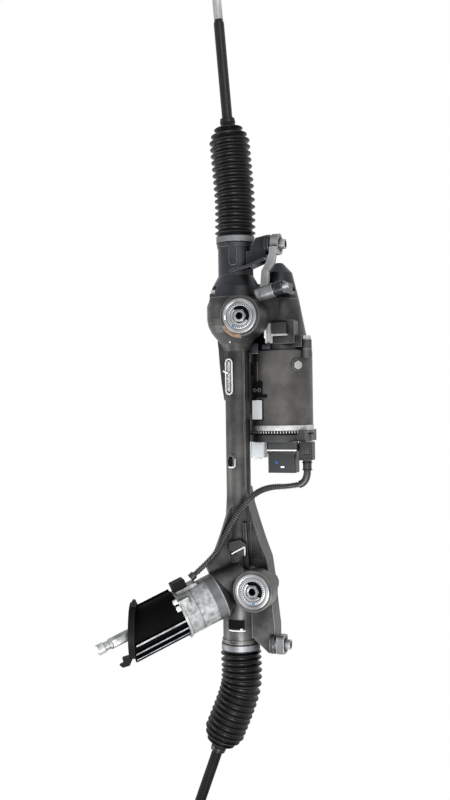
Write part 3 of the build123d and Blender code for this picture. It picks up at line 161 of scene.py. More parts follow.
class Graph:
    """Node tree of a material or of the world, with short ways to add and fill nodes."""

    BEVEL_SAMPLES = 4

    def __init__(self, tree: bpy.types.NodeTree) -> None:
        """Keep the tree.

        Args:
            tree: The node tree.
        """
        self.tree = tree

    def fill(self, node: bpy.types.Node, inputs: Inputs) -> bpy.types.Node:
        """Set or link the inputs of a node.

        Args:
            node: The node.
            inputs: A socket to link or a plain value for each input.

        Returns:
            The same node.
        """
        for key, value in inputs.items():
            if isinstance(value, Socket):
                self.tree.links.new(value, node.inputs[key])
            else:
                node.inputs[key].default_value = value
        return node

    def add(self, kind: str, output: str, inputs: Inputs, **settings: object) -> Socket:
        """Add a node and fill it.

        Args:
            kind: Type of the node, as it follows ShaderNode.
            output: Name of the output that is wanted.
            inputs: A socket or a value for each input.
            **settings: Other properties of the node.

        Returns:
            The wanted output.
        """
        node = self.tree.nodes.new("ShaderNode" + kind)
        for key, value in settings.items():
            setattr(node, key, value)
        return self.fill(node, inputs).outputs[output]

    def noise(self, place: Socket, scale: float, detail: float) -> Socket:
        """Add a noise texture.

        Args:
            place: Socket with the coordinates.
            scale: Noise cells per metre.
            detail: Octaves of the noise.

        Returns:
            The socket with the noise value.
        """
        return self.add("TexNoise", "Fac", {"Vector": place, "Scale": scale, "Detail": detail})

    def spread(self, value: Socket, low: float, high: float, least: float, most: float) -> Socket:
        """Map a value from one range onto another.

        Args:
            value: Socket with the value.
            low: Value that gives the least result.
            high: Value that gives the most.
            least: Result at the low value.
            most: Result at the high value.

        Returns:
            The socket with the result.
        """
        return self.add("MapRange", "Result", {"Value": value, "From Min": low, "From Max": high,
                                               "To Min": least, "To Max": most})

    def dim(self, colour: Socket, share: Socket) -> Socket:
        """Multiply a colour by a share.

        Args:
            colour: Socket with the colour.
            share: Socket with the share.

        Returns:
            The socket with the result.
        """
        return self.add("VectorMath", "Vector", {0: colour, "Scale": share}, operation="SCALE")

    def rounded(self, radius: float) -> Socket:
        """Find the normal of softly rounded edges.

        Args:
            radius: Rounding in millimetres.

        Returns:
            The socket with the normal.
        """
        return self.add("Bevel", "Normal", {"Radius": radius * MM}, samples=self.BEVEL_SAMPLES)


@dataclass(frozen=True)
class Finish:
    """One surface: its colours, gloss and grain, its edge wear with painted edge highlights, painted shade in
    its hollows and painted light towards one end.

    Attributes:
        name: Material name.
        dark: Darker display colour of the mottling.
        light: Lighter display colour of the mottling.
        rough: Roughness from 0 to 1.
        metal: Metallic share from 0 to 1.
        grain: Kind of surface grain.
        grain_scale: Grains per metre of the finest noise.
        bump: Height of the grain in millimetres.
        wear_and_highlight: Share of lighter edge that shows, partly worn bare edge and partly painted
            highlight along the edges.
        edge: Rounding of the edges in millimetres.
        cloud: Mottles per metre.
        gloss: Strength of the plain reflections.
        paints_hollow_shade: Whether painted shade darkens the hollows.
        painted_end_light: How much lighter the surface is painted at the pinion end than at the motor end, as
            painted light falling on that end.
    """

    name: str
    dark: tuple[int, int, int]
    light: tuple[int, int, int]
    rough: float
    metal: float = 0.0
    grain: Grain = Grain.SMOOTH
    grain_scale: float = 700.0
    bump: float = 0.03
    wear_and_highlight: float = 0.0
    edge: float = 0.6
    cloud: float = 28.0
    gloss: float = 0.5
    paints_hollow_shade: bool = True
    painted_end_light: float = 1.0

    MOTTLE_STOPS = (0.34, 0.68)
    MOTTLE_DETAIL = 5.0
    CAST_DETAIL = 8.0
    CAST_CELLS = 0.5
    SMOOTH_DETAIL = 6.0
    RING_WAVER = 2.0
    EDGE_WEAR_HIGHLIGHT_RADIUS = 1.6
    EDGE_WEAR_HIGHLIGHT_TURN = (0.98, 0.86)
    WORN_AND_LIT_LIFT = 70
    END_LIGHT_Y = (-120.0, -240.0)
    HOLLOW_REACH = 60.0
    HOLLOW_RANGE = (0.35, 0.9)
    HOLLOW_DARK = 0.03
    HOLLOW_SAMPLES = 8
    LEAST_ROUGH = 0.05
    ROUGH_SPREAD = 0.1
    ROUGH_CELLS = 140.0
    ROUGH_DETAIL = 3.0

    def material(self) -> bpy.types.Material:
        """Build the material once and return it after that.

        Returns:
            The material with its procedural nodes.
        """
        name = "finish_" + self.name
        if name in bpy.data.materials:
            return bpy.data.materials[name]
        made = bpy.data.materials.new(name)
        made.use_nodes = True
        graph = Graph(made.node_tree)
        place = graph.add("TexCoord", "Object", {})
        colour = self._mottled(graph, place)
        # Edge wear mixed with a painted highlight along sharp edges
        if self.wear_and_highlight:
            colour = self._worn_and_highlit(graph, colour)
        # Painted light: the colour grows lighter towards the pinion end
        if self.painted_end_light != 1.0:
            colour = self._paint_end_light(graph, place, colour)
        # Painted shade: the colour is darkened in hollows and between parts
        if self.paints_hollow_shade:
            colour = self._paint_hollow_shade(graph, colour)
        graph.fill(graph.tree.nodes["Principled BSDF"], {
            "Base Color": colour, "Metallic": self.metal, "Specular IOR Level": self.gloss,
            "Roughness": self._roughness(graph, place), "Normal": self._normal(graph, place)})
        return made

    def _mottled(self, graph: Graph, place: Socket) -> Socket:
        """Mottle the surface between its dark and its light colour.

        Args:
            graph: Node tree of the material.
            place: Socket with the coordinates.

        Returns:
            The socket with the colour.
        """
        ramp = graph.tree.nodes.new("ShaderNodeValToRGB")
        for stop, share, colour in zip(ramp.color_ramp.elements, self.MOTTLE_STOPS, (self.dark, self.light)):
            stop.position = share
            stop.color = linear(*colour)
        return graph.fill(ramp, {"Fac": graph.noise(place, self.cloud, self.MOTTLE_DETAIL)}).outputs["Color"]

    def _worn_and_highlit(self, graph: Graph, colour: Socket) -> Socket:
        """Mix a lighter colour in where the surface turns sharply: partly worn bare edges, partly a painted
        highlight along them.

        Args:
            graph: Node tree of the material.
            colour: Socket with the colour before the worn and highlit edges.

        Returns:
            The socket with the colour with worn and highlit edges.
        """
        # Painted highlight and wear: sharply turning edges get a lighter colour
        flat = graph.add("NewGeometry", "Normal", {})
        turn = graph.add("VectorMath", "Value", {0: graph.rounded(self.EDGE_WEAR_HIGHLIGHT_RADIUS), 1: flat},
                         operation="DOT_PRODUCT")
        worn_and_lit_edge = tuple(min(255, channel + self.WORN_AND_LIT_LIFT) for channel in self.light)
        return graph.add("Mix", "Result", {"Factor": graph.spread(turn, *self.EDGE_WEAR_HIGHLIGHT_TURN, 0.0, self.wear_and_highlight),
                                           "A": colour, "B": linear(*worn_and_lit_edge)}, data_type="RGBA")

    def _paint_end_light(self, graph: Graph, place: Socket, colour: Socket) -> Socket:
        """Paint light onto the surface towards the pinion end, where the light falls.

        Args:
            graph: Node tree of the material.
            place: Socket with the coordinates.
            colour: Socket with the even colour.

        Returns:
            The socket with the colour lightened by painted light.
        """
        # Painted light, rising from the motor end to the pinion end
        along = graph.add("SeparateXYZ", "Y", {"Vector": place})
        start, end = (at(0, y, 0).y for y in self.END_LIGHT_Y)
        return graph.dim(colour, graph.spread(along, start, end, 1.0, self.painted_end_light))

    def _paint_hollow_shade(self, graph: Graph, colour: Socket) -> Socket:
        """Paint shade into the hollows and between parts by darkening the colour there.

        Args:
            graph: Node tree of the material.
            colour: Socket with the colour before the painted shade.

        Returns:
            The socket with the colour darkened by painted shade.
        """
        # Painted shade from ambient occlusion, deepest in narrow hollows
        hollow = graph.add("AmbientOcclusion", "AO", {"Distance": self.HOLLOW_REACH * MM},
                           samples=self.HOLLOW_SAMPLES)
        return graph.dim(colour, graph.spread(hollow, *self.HOLLOW_RANGE, self.HOLLOW_DARK, 1.0))

    def _roughness(self, graph: Graph, place: Socket) -> Socket:
        """Vary the roughness a little over the surface.

        Args:
            graph: Node tree of the material.
            place: Socket with the coordinates.

        Returns:
            The socket with the roughness.
        """
        least = max(self.LEAST_ROUGH, self.rough - self.ROUGH_SPREAD)
        most = min(1.0, self.rough + self.ROUGH_SPREAD)
        return graph.spread(graph.noise(place, self.ROUGH_CELLS, self.ROUGH_DETAIL), 0.0, 1.0, least, most)

    def _normal(self, graph: Graph, place: Socket) -> Socket:
        """Bump the grain over softly rounded edges.

        Args:
            graph: Node tree of the material.
            place: Socket with the coordinates.

        Returns:
            The socket with the normal.
        """
        return graph.add("Bump", "Normal", {"Distance": self.bump * MM, "Height": self._height(graph, place),
                                            "Normal": graph.rounded(self.edge)})

    def _height(self, graph: Graph, place: Socket) -> Socket:
        """Make the height field of the grain.

        Args:
            graph: Node tree of the material.
            place: Socket with the coordinates.

        Returns:
            The socket with the height.
        """
        if self.grain is Grain.TURNED:
            rings = {"Vector": place, "Scale": self.grain_scale, "Distortion": self.RING_WAVER}
            return graph.add("TexWave", "Fac", rings, wave_type="RINGS")
        if self.grain is Grain.CAST:
            cells = graph.add("TexVoronoi", "Distance", {"Vector": place, "Scale": self.grain_scale})
            fine = graph.noise(place, self.grain_scale / 3, self.CAST_DETAIL)
            return graph.add("Math", "Value", {0: cells, 1: self.CAST_CELLS, 2: fine},
                             operation="MULTIPLY_ADD")
        return graph.noise(place, self.grain_scale, self.SMOOTH_DETAIL)


CAST_GREY = Finish("cast_grey", (36, 36, 36), (80, 80, 79), 0.4, 0.4, Grain.CAST, 900.0, 0.16, 0.9,
                   gloss=0.35, painted_end_light=1.5)
CASE_BLUE = Finish("case_blue_grey", (28, 31, 35), (60, 63, 69), 0.36, 0.4, Grain.CAST, 900.0, 0.12, 0.9,
                   gloss=0.35)
TOWER_GREY = Finish("tower_grey", (124, 127, 128), (182, 184, 185), 0.42, 0.35, Grain.CAST, 900.0, 0.1, 0.3,
                    cloud=160.0)
MOTOR_BROWN = Finish("motor_brown_grey", (62, 61, 60), (94, 93, 91), 0.44, 0.35, Grain.CAST, 1100.0, 0.1, 0.6,
                     gloss=0.4)
COVER_GREY = Finish("cover_grey", (46, 47, 48), (64, 65, 66), 0.45, 0.35, Grain.CAST, 1100.0, 0.08, 0.35)
BRACKET_GREY = Finish("bracket_grey", (104, 106, 108), (150, 152, 154), 0.36, 0.45, Grain.CAST, 900.0,
                      0.08, 0.8)
SLEEVE_GREY = Finish("sleeve_grey", (84, 86, 88), (116, 118, 120), 0.42, 0.5, Grain.CAST, 900.0, 0.1, 0.4)
STEEL = Finish("bright_steel", (156, 156, 156), (206, 206, 206), 0.3, 0.5, Grain.TURNED, 600.0, 0.02)
DARK_STEEL = Finish("dark_steel", (96, 98, 100), (150, 152, 154), 0.3, 0.5, Grain.TURNED, 600.0, 0.02)
COPPER = Finish("winding_copper", (120, 70, 44), (168, 104, 66), 0.4, 0.8, Grain.TURNED, 900.0, 0.05)
YOKE_ALLOY = Finish("yoke_alloy", (140, 140, 138), (170, 170, 168), 0.38, 0.8, Grain.TURNED)
EYE_RING = Finish("eye_ring", (112, 114, 116), (176, 178, 180), 0.32, 0.45, Grain.TURNED, 500.0, paints_hollow_shade=False)
MARK_RING = Finish("mark_ring", (176, 179, 182), (222, 224, 226), 0.45, 0.2, paints_hollow_shade=False)
ZINC = Finish("zinc_steel", (140, 140, 139), (200, 200, 198), 0.34, 0.35, wear_and_highlight=0.5, paints_hollow_shade=False)
CLAMP_STEEL = Finish("clamp_steel", (88, 90, 92), (132, 134, 136), 0.5, 0.55, wear_and_highlight=0.3)
SHAFT_STEEL = Finish("shaft_steel", (112, 113, 114), (196, 197, 198), 0.36, 0.7, grain_scale=600.0, bump=0.02,
                     cloud=60.0)
BAND_ALLOY = Finish("band_alloy", (168, 169, 169), (222, 223, 223), 0.4, 0.35, cloud=60.0)
RAW_METAL = Finish("raw_metal", (60, 60, 60), (236, 236, 236), 0.4, 0.3, bump=0.05, cloud=620.0)
# Near-white for bright edges, partly bare metal and partly painted highlights where edges catch the light
BRIGHT = Finish("bright_edge", (222, 222, 220), (250, 250, 248), 0.4, paints_hollow_shade=False)
# Light grey for painted reflections along the boot's ribs
GLINT = Finish("rib_glint", (120, 124, 128), (184, 188, 192), 0.5, cloud=60.0)
BLACK_STEEL = Finish("black_steel", (14, 14, 15), (28, 28, 29), 0.34, 0.2, grain_scale=500.0, bump=0.05,
                     gloss=0.35)
MATTE_BLACK = Finish("matte_black", (9, 9, 10), (18, 18, 19), 0.6, bump=0.05, wear_and_highlight=0.3, gloss=0.1)
# Near-black for dark parts and marks, and as painted shade in pits, voids and pockets
BLACK_AND_PAINTED_SHADE = Finish("black_and_painted_shade", (8, 8, 9), (15, 15, 16), 0.75, gloss=0.08)
RUBBER = Finish("black_rubber", (14, 14, 15), (24, 24, 25), 0.5, grain_scale=1200.0, bump=0.05, gloss=0.3)
BELLOWS_RUBBER = Finish("bellows_rubber", (15, 15, 16), (26, 26, 28), 0.4, grain_scale=900.0, bump=0.05,
                        wear_and_highlight=0.25, gloss=0.22)
BOOT_RUBBER = Finish("boot_rubber", (4, 4, 5), (9, 9, 10), 0.7, grain_scale=900.0, bump=0.05, gloss=0.04)
BLACK_PLASTIC = Finish("black_plastic", (30, 31, 33), (46, 48, 50), 0.42, grain_scale=1400.0, bump=0.05,
                       wear_and_highlight=0.4, gloss=0.45)
PALE_PLASTIC = Finish("pale_plastic", (196, 201, 204), (226, 230, 232), 0.5, grain_scale=1200.0, bump=0.04,
                      paints_hollow_shade=False)
CONDUIT = Finish("conduit_black", (16, 16, 17), (26, 26, 28), 0.4, grain_scale=1400.0, bump=0.04, gloss=0.35)
# Grey for the conduit's ribs: a painted sheen on the crests of the black plastic
CONDUIT_RIB_SHEEN = Finish("conduit_rib", (66, 68, 70), (100, 102, 104), 0.35, grain_scale=1400.0, bump=0.04)
PAINT_BLUE = Finish("paint_blue", (14, 92, 168), (26, 112, 190), 0.4, grain_scale=900.0, bump=0.1)
WAX = Finish("wax_tan", (104, 84, 66), (160, 132, 104), 0.6, grain_scale=900.0, bump=0.1, cloud=300.0)
LABEL = Finish("blank_label", (196, 198, 200), (218, 220, 222), 0.5, grain_scale=900.0, bump=0.1, paints_hollow_shade=False)

NODE_FINISHES = {
    CAST_GREY: ["rack_housing"],
    CASE_BLUE: ["drive_housing"],
    TOWER_GREY: ["sensor_housing"],
    MOTOR_BROWN: ["motor_case"],
    COVER_GREY: ["control_cover"],
    BRACKET_GREY: ["support_bracket", "side_washers", "side_mount_blocks"],
    ZINC: ["case_bolts", "motor_bolts", "bracket_bolt", "angle_bracket", "ground_screw"],
    BAND_ALLOY: ["ring_band"],
    CLAMP_STEEL: ["bellows_clamps"],
    DARK_STEEL: ["bush_shells", "bush_cores"],
    SHAFT_STEEL: ["input_shaft"],
    STEEL: ["side_sleeves", "rack_bar", "pinion", "torsion_bar",
            "ball_nut", "rotor", "yoke_spring", "pinion_bearings", "nut_bearing", "rotor_bearings",
            "bearing_retainer", "ball_sockets", "end_stops", "motor_pulley", "nut_pulley"],
    BLACK_STEEL: ["upper_tie_rod", "yoke_plug", "upper_rod_clamp", "lower_rod_clamp"],
    MATTE_BLACK: ["lower_tie_rod", "bulkhead_plate", "tower_connector"],
    RUBBER: ["bush_rubbers", "side_rubbers", "yoke_o_ring", "input_seal", "drive_belt"],
    BELLOWS_RUBBER: ["upper_bellows", "lower_bellows"],
    BOOT_RUBBER: ["column_boot"],
    BLACK_PLASTIC: ["bracket_block", "power_connector", "sensor_plug", "cable_plug",
                    "rack_bush", "torque_sensor"],
    CONDUIT: ["sensor_cable"],
    PALE_PLASTIC: ["capped_connector", "upper_ball_seat", "lower_ball_seat"],
    COPPER: ["stator"],
    YOKE_ALLOY: ["yoke"],
}


def paint(obj: bpy.types.Object, finish: Finish) -> None:
    """Give every material slot of a mesh one finish.

    Args:
        obj: The mesh or curve.
        finish: The finish to give it.
    """
    if not obj.data.materials:
        obj.data.materials.append(finish.material())
    for slot in obj.material_slots:
        slot.material = finish.material()


def paint_nodes() -> None:
    """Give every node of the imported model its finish."""
    for finish, names in NODE_FINISHES.items():
        for name in names:
            paint(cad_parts[name], finish)
    LOG.info("painted %d nodes", sum(len(names) for names in NODE_FINISHES.values()))


class Model:
    """Modelling steps shared by the pieces. Sizes are millimetres in a piece's own frame."""

    @staticmethod
    def pick(obj: bpy.types.Object) -> None:
        """Select one object alone and make it active.

        Args:
            obj: The object.
        """
        bpy.ops.object.select_all(action="DESELECT")
        obj.select_set(True)
        bpy.context.view_layer.objects.active = obj

    @staticmethod
    def enter(obj: bpy.types.Object) -> bpy.types.Object:
        """Enter edit mode on the active object with all of it selected.

        Args:
            obj: The active object.

        Returns:
            The same object.
        """
        bpy.ops.object.mode_set(mode="EDIT")
        bpy.ops.mesh.select_all(action="SELECT")
        return obj

    @staticmethod
    def close(obj: bpy.types.Object) -> bpy.types.Object:
        """Merge doubles, turn the normals outwards and leave edit mode.

        Args:
            obj: The object in edit mode.

        Returns:
            The same object.
        """
        bpy.ops.mesh.select_all(action="SELECT")
        bpy.ops.mesh.remove_doubles(threshold=0.002 * MM)
        bpy.ops.mesh.normals_make_consistent(inside=False)
        bpy.ops.object.mode_set(mode="OBJECT")
        return obj

    @classmethod
    def start(cls, name: str, add: Callable, **sizes: float) -> bpy.types.Object:
        """Add a primitive at the origin and open it.

        Args:
            name: Name of the new object.
            add: Operator that adds the primitive.
            **sizes: Its sizes in metres.

        Returns:
            The object, in edit mode.
        """
        bpy.ops.object.select_all(action="DESELECT")
        add(location=(0, 0, 0), **sizes)
        obj = bpy.context.object
        obj.name = name
        return cls.enter(obj)

    @classmethod
    def chain(cls, name: str, points: list[Place]) -> bpy.types.Object:
        """Draw a chain of edges and stay in edit mode with all of it selected.

        Args:
            name: Name of the new object.
            points: Corners of the chain.

        Returns:
            The object, in edit mode.
        """
        obj = cls.start(name, bpy.ops.mesh.primitive_plane_add, size=MM)
        bpy.ops.mesh.merge(type="CENTER")
        bpy.ops.transform.translate(value=Vector(points[0]) * MM)
        for before, after in zip(points, points[1:]):
            step = (Vector(after) - Vector(before)) * MM
            bpy.ops.mesh.extrude_region_move(TRANSFORM_OT_translate={"value": step})
        bpy.ops.mesh.select_all(action="SELECT")
        return obj

    @classmethod
    def spin(cls, obj: bpy.types.Object, steps: int, turn: float, copies: bool = False) -> bpy.types.Object:
        """Spin all that is selected in edit mode round Z and close it.

        Args:
            obj: The object in edit mode.
            steps: Steps round the turn.
            turn: Length of the turn in degrees.
            copies: Whether to leave copies and no surface.

        Returns:
            The spun object.
        """
        bpy.ops.mesh.spin(steps=steps, dupli=copies, angle=math.radians(turn), center=(0, 0, 0),
                          axis=(0, 0, 1))
        return cls.close(obj)

    @classmethod
    def lathe(cls, name: str, profile: Outline, steps: int = 64, turn: float = FULL_TURN) -> bpy.types.Object:
        """Spin a profile round Z, or a part of the way.

        Args:
            name: Name of the new object.
            profile: Radius and height of each corner.
            steps: Steps round the turn.
            turn: Length of the turn in degrees.

        Returns:
            The turned object.
        """
        obj = cls.chain(name, [(radius, 0.0, height) for radius, height in profile])
        return cls.spin(obj, steps, turn)

    @classmethod
    def prism(cls, name: str, outline: Outline, low: float, high: float) -> bpy.types.Object:
        """Fill an outline and raise it along Z.

        Args:
            name: Name of the new object.
            outline: Corners in X and Y, in order.
            low: Height of the bottom.
            high: Height of the top.

        Returns:
            The solid.
        """
        obj = cls.chain(name, [(x, y, low) for x, y in outline])
        bpy.ops.mesh.edge_face_add()
        bpy.ops.mesh.extrude_region_move(TRANSFORM_OT_translate={"value": (0, 0, (high - low) * MM)})
        return cls.close(obj)

    @classmethod
    def block(cls, name: str, size: Place, centre: Place = (0, 0, 0), bevel: float = 0.0) -> bpy.types.Object:
        """Make a box with bevelled edges.

        Args:
            name: Name of the new object.
            size: Edge lengths.
            centre: Middle of the box.
            bevel: Width of the bevel.

        Returns:
            The solid.
        """
        obj = cls.start(name, bpy.ops.mesh.primitive_cube_add, size=1.0)
        bpy.ops.transform.resize(value=[length * MM for length in size])
        bpy.ops.transform.translate(value=Vector(centre) * MM)
        if bevel:
            bpy.ops.mesh.bevel(offset=bevel * MM, segments=3, affect="EDGES")
        return cls.close(obj)

    @classmethod
    def ring(cls, name: str, major: float, minor: float) -> bpy.types.Object:
        """Make a round ring about Z.

        Args:
            name: Name of the new object.
            major: Radius of the ring's middle line.
            minor: Radius of its section.

        Returns:
            The ring.
        """
        return cls.close(cls.start(name, bpy.ops.mesh.primitive_torus_add, major_radius=major * MM,
                                   minor_radius=minor * MM, major_segments=48, minor_segments=12))

    @classmethod
    def row_round(cls, piece: bpy.types.Object, count: int) -> bpy.types.Object:
        """Repeat a closed piece round Z.

        Args:
            piece: The piece, made last.
            count: Number of copies.

        Returns:
            The row as one object.
        """
        return cls.spin(cls.enter(piece), count, FULL_TURN, copies=True)

    @classmethod
    def place(cls, obj: bpy.types.Object, matrix: Matrix) -> bpy.types.Object:
        """Move a piece into the row frame and leave its origin at the frame's origin.

        Args:
            obj: The piece, made in its own frame.
            matrix: Where that frame stands.

        Returns:
            The same piece.
        """
        cls.pick(obj)
        obj.matrix_world = matrix
        bpy.ops.object.transform_apply(location=True, rotation=True, scale=True)
        return obj

    @classmethod
    def apply(cls, obj: bpy.types.Object, kind: str, **settings: object) -> bpy.types.Object:
        """Add a modifier and apply it.

        Args:
            obj: The piece.
            kind: Type of the modifier.
            **settings: Values of the modifier.

        Returns:
            The same piece.
        """
        cls.pick(obj)
        modifier = obj.modifiers.new(kind.lower(), kind)
        for key, value in settings.items():
            setattr(modifier, key, value)
        bpy.ops.object.modifier_apply(modifier=modifier.name)
        return obj

    @classmethod
    def cut(cls, obj: bpy.types.Object, tool: bpy.types.Object) -> bpy.types.Object:
        """Cut a tool out of a piece and remove the tool.

        Args:
            obj: The piece.
            tool: The solid to take away.

        Returns:
            The same piece.
        """
        cls.apply(obj, "BOOLEAN", object=tool, operation="DIFFERENCE", solver="EXACT")
        bpy.data.objects.remove(tool)
        return obj

    @classmethod
    def smooth(cls, obj: bpy.types.Object, angle: float = 35.0) -> bpy.types.Object:
        """Shade a piece smoothly up to an angle.

        Args:
            obj: The piece.
            angle: Sharpest smooth edge in degrees.

        Returns:
            The same piece.
        """
        cls.pick(obj)
        bpy.ops.object.shade_smooth_by_angle(angle=math.radians(angle))
        return obj


def finish_piece(obj: bpy.types.Object, finish: Finish, body: Body = Body.HOUSING) -> None:
    """Paint a piece and hand it to its body.

    Args:
        obj: The piece, in place.
        finish: Its surface.
        body: The body that it rides on.
    """
    Model.smooth(obj)
    paint(obj, finish)
    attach(obj, body.value)
    LOG.info("built %s", obj.name)


def set_on(piece: bpy.types.Object, stand: Matrix, finish: Finish, body: Body = Body.HOUSING) -> None:
    """Stand a piece in its place, paint it and hand it to its body.

    Args:
        piece: The piece in its own frame.
        stand: Where that frame stands.
        finish: Its surface.
        body: The body it rides on.
    """
    finish_piece(Model.place(piece, stand), finish, body)


@dataclass(frozen=True)
class Spot:
    """A place on the part's surface.

    Attributes:
        place: Where it is in the rack frame.
        normal: Which way the surface faces.
        turn: Turn round the normal in degrees. At 0 the local X axis runs up the rack bar.
    """

    place: Place
    normal: Place = (0.0, 0.0, 1.0)
    turn: float = 0.0

    def matrix(self) -> Matrix:
        """Make the placing matrix.

        Returns:
            A matrix whose Z axis is the normal.
        """
        stand = basis(at(*self.place), Vector(self.normal), Vector((0, 1, 0)))
        return stand @ Matrix.Rotation(math.radians(self.turn), 4, "Z")


@dataclass(frozen=True)
class Chip:
    """A small bevelled block that is pressed half into the surface.

    Attributes:
        place: Its middle in the rack frame.
        size: Length up the rack bar, width and height.
        finish: Its surface.
        normal: Which way the surface faces.
        turn: Turn round the normal in degrees.
        bevel: Width of the bevel.
    """

    place: Place
    size: Place
    finish: Finish
    normal: Place = (0.0, 0.0, 1.0)
    turn: float = 0.0
    bevel: float = 0.3

    def build(self, name: str) -> None:
        """Build the block.

        Args:
            name: Name of the piece.
        """
        block = Model.block(name, self.size, bevel=self.bevel)
        set_on(block, Spot(self.place, self.normal, self.turn).matrix(), self.finish)


def along_y(y: float, x: float, z: float) -> Matrix:
    """Stand a piece's Z axis along the rack bar.

    Args:
        y: Where the piece's own origin goes along the rack bar.
        x: Place across the rack bar.
        z: Height.

    Returns:
        The placing matrix.
    """
    return basis(at(x, y, z), Vector((0, 1, 0)), Vector((1, 0, 0)))


def bare_curve(name: str, kind: str, count: int,
               resolution: int) -> tuple[bpy.types.Object, bpy.types.Spline]:
    """Make a curve without a thickness, for its points to be set.

    Args:
        name: Name of the curve.
        kind: Type of the spline.
        count: Number of its points.
        resolution: Steps between points.

    Returns:
        The curve object and its spline.
    """
    data = bpy.data.curves.new(name, "CURVE")
    data.dimensions = "3D"
    data.resolution_u = resolution
    data.twist_mode = "MINIMUM"
    spline = data.splines.new(kind)
    points = spline.bezier_points if kind == "BEZIER" else spline.points
    points.add(count - 1)
    curve = bpy.data.objects.new(name, data)
    bpy.context.scene.collection.objects.link(curve)
    return curve, spline


def route_curve(name: str, points: list[Place]) -> bpy.types.Object:
    """Draw a smooth curve along places in the rack frame.

    Args:
        name: Name of the curve.
        points: Control points in millimetres.

    Returns:
        The curve object, without a thickness.
    """
    curve, spline = bare_curve(name, "NURBS", len(points), 24)
    for point, place in zip(spline.points, points):
        point.co = (*at(*place), 1.0)
    spline.order_u = 3
    spline.use_endpoint_u = True
    return curve


def curve_places(curve: bpy.types.Object) -> list[Vector]:
    """Read the places along a curve that has no thickness.

    Args:
        curve: The curve object.

    Returns:
        Its points in order, in metres.
    """
    bpy.context.view_layer.update()
    mesh = bpy.data.meshes.new_from_object(curve)
    places = [vertex.co.copy() for vertex in mesh.vertices]
    bpy.data.meshes.remove(mesh)
    return places


def path_length(places: list[Vector]) -> float:
    """Measure a row of places.

    Args:
        places: Points in order.

    Returns:
        Their length in metres.
    """
    return sum((after - before).length for before, after in zip(places, places[1:]))


@dataclass(frozen=True)
class Rod:
    """Where one tie rod points.

    Attributes:
        side: 1 for the upper rod, -1 for the lower one.
        tilt: Angle to the rack bar in degrees.
        ball_y: Distance of the ball from the middle of the rack bar.
    """

    side: int
    tilt: float
    ball_y: float = 358.0

    def name(self) -> str:
        """Name the rod's side: upper or lower."""
        return "upper" if self.side > 0 else "lower"

    def ball(self) -> Vector:
        """Find the middle of its ball."""
        return Vector((0, self.side * self.ball_y, 0))

    def way(self) -> Vector:
        """Find its direction, as a unit vector."""
        angle = math.radians(self.tilt)
        return Vector((-math.sin(angle), self.side * math.cos(angle), 0))


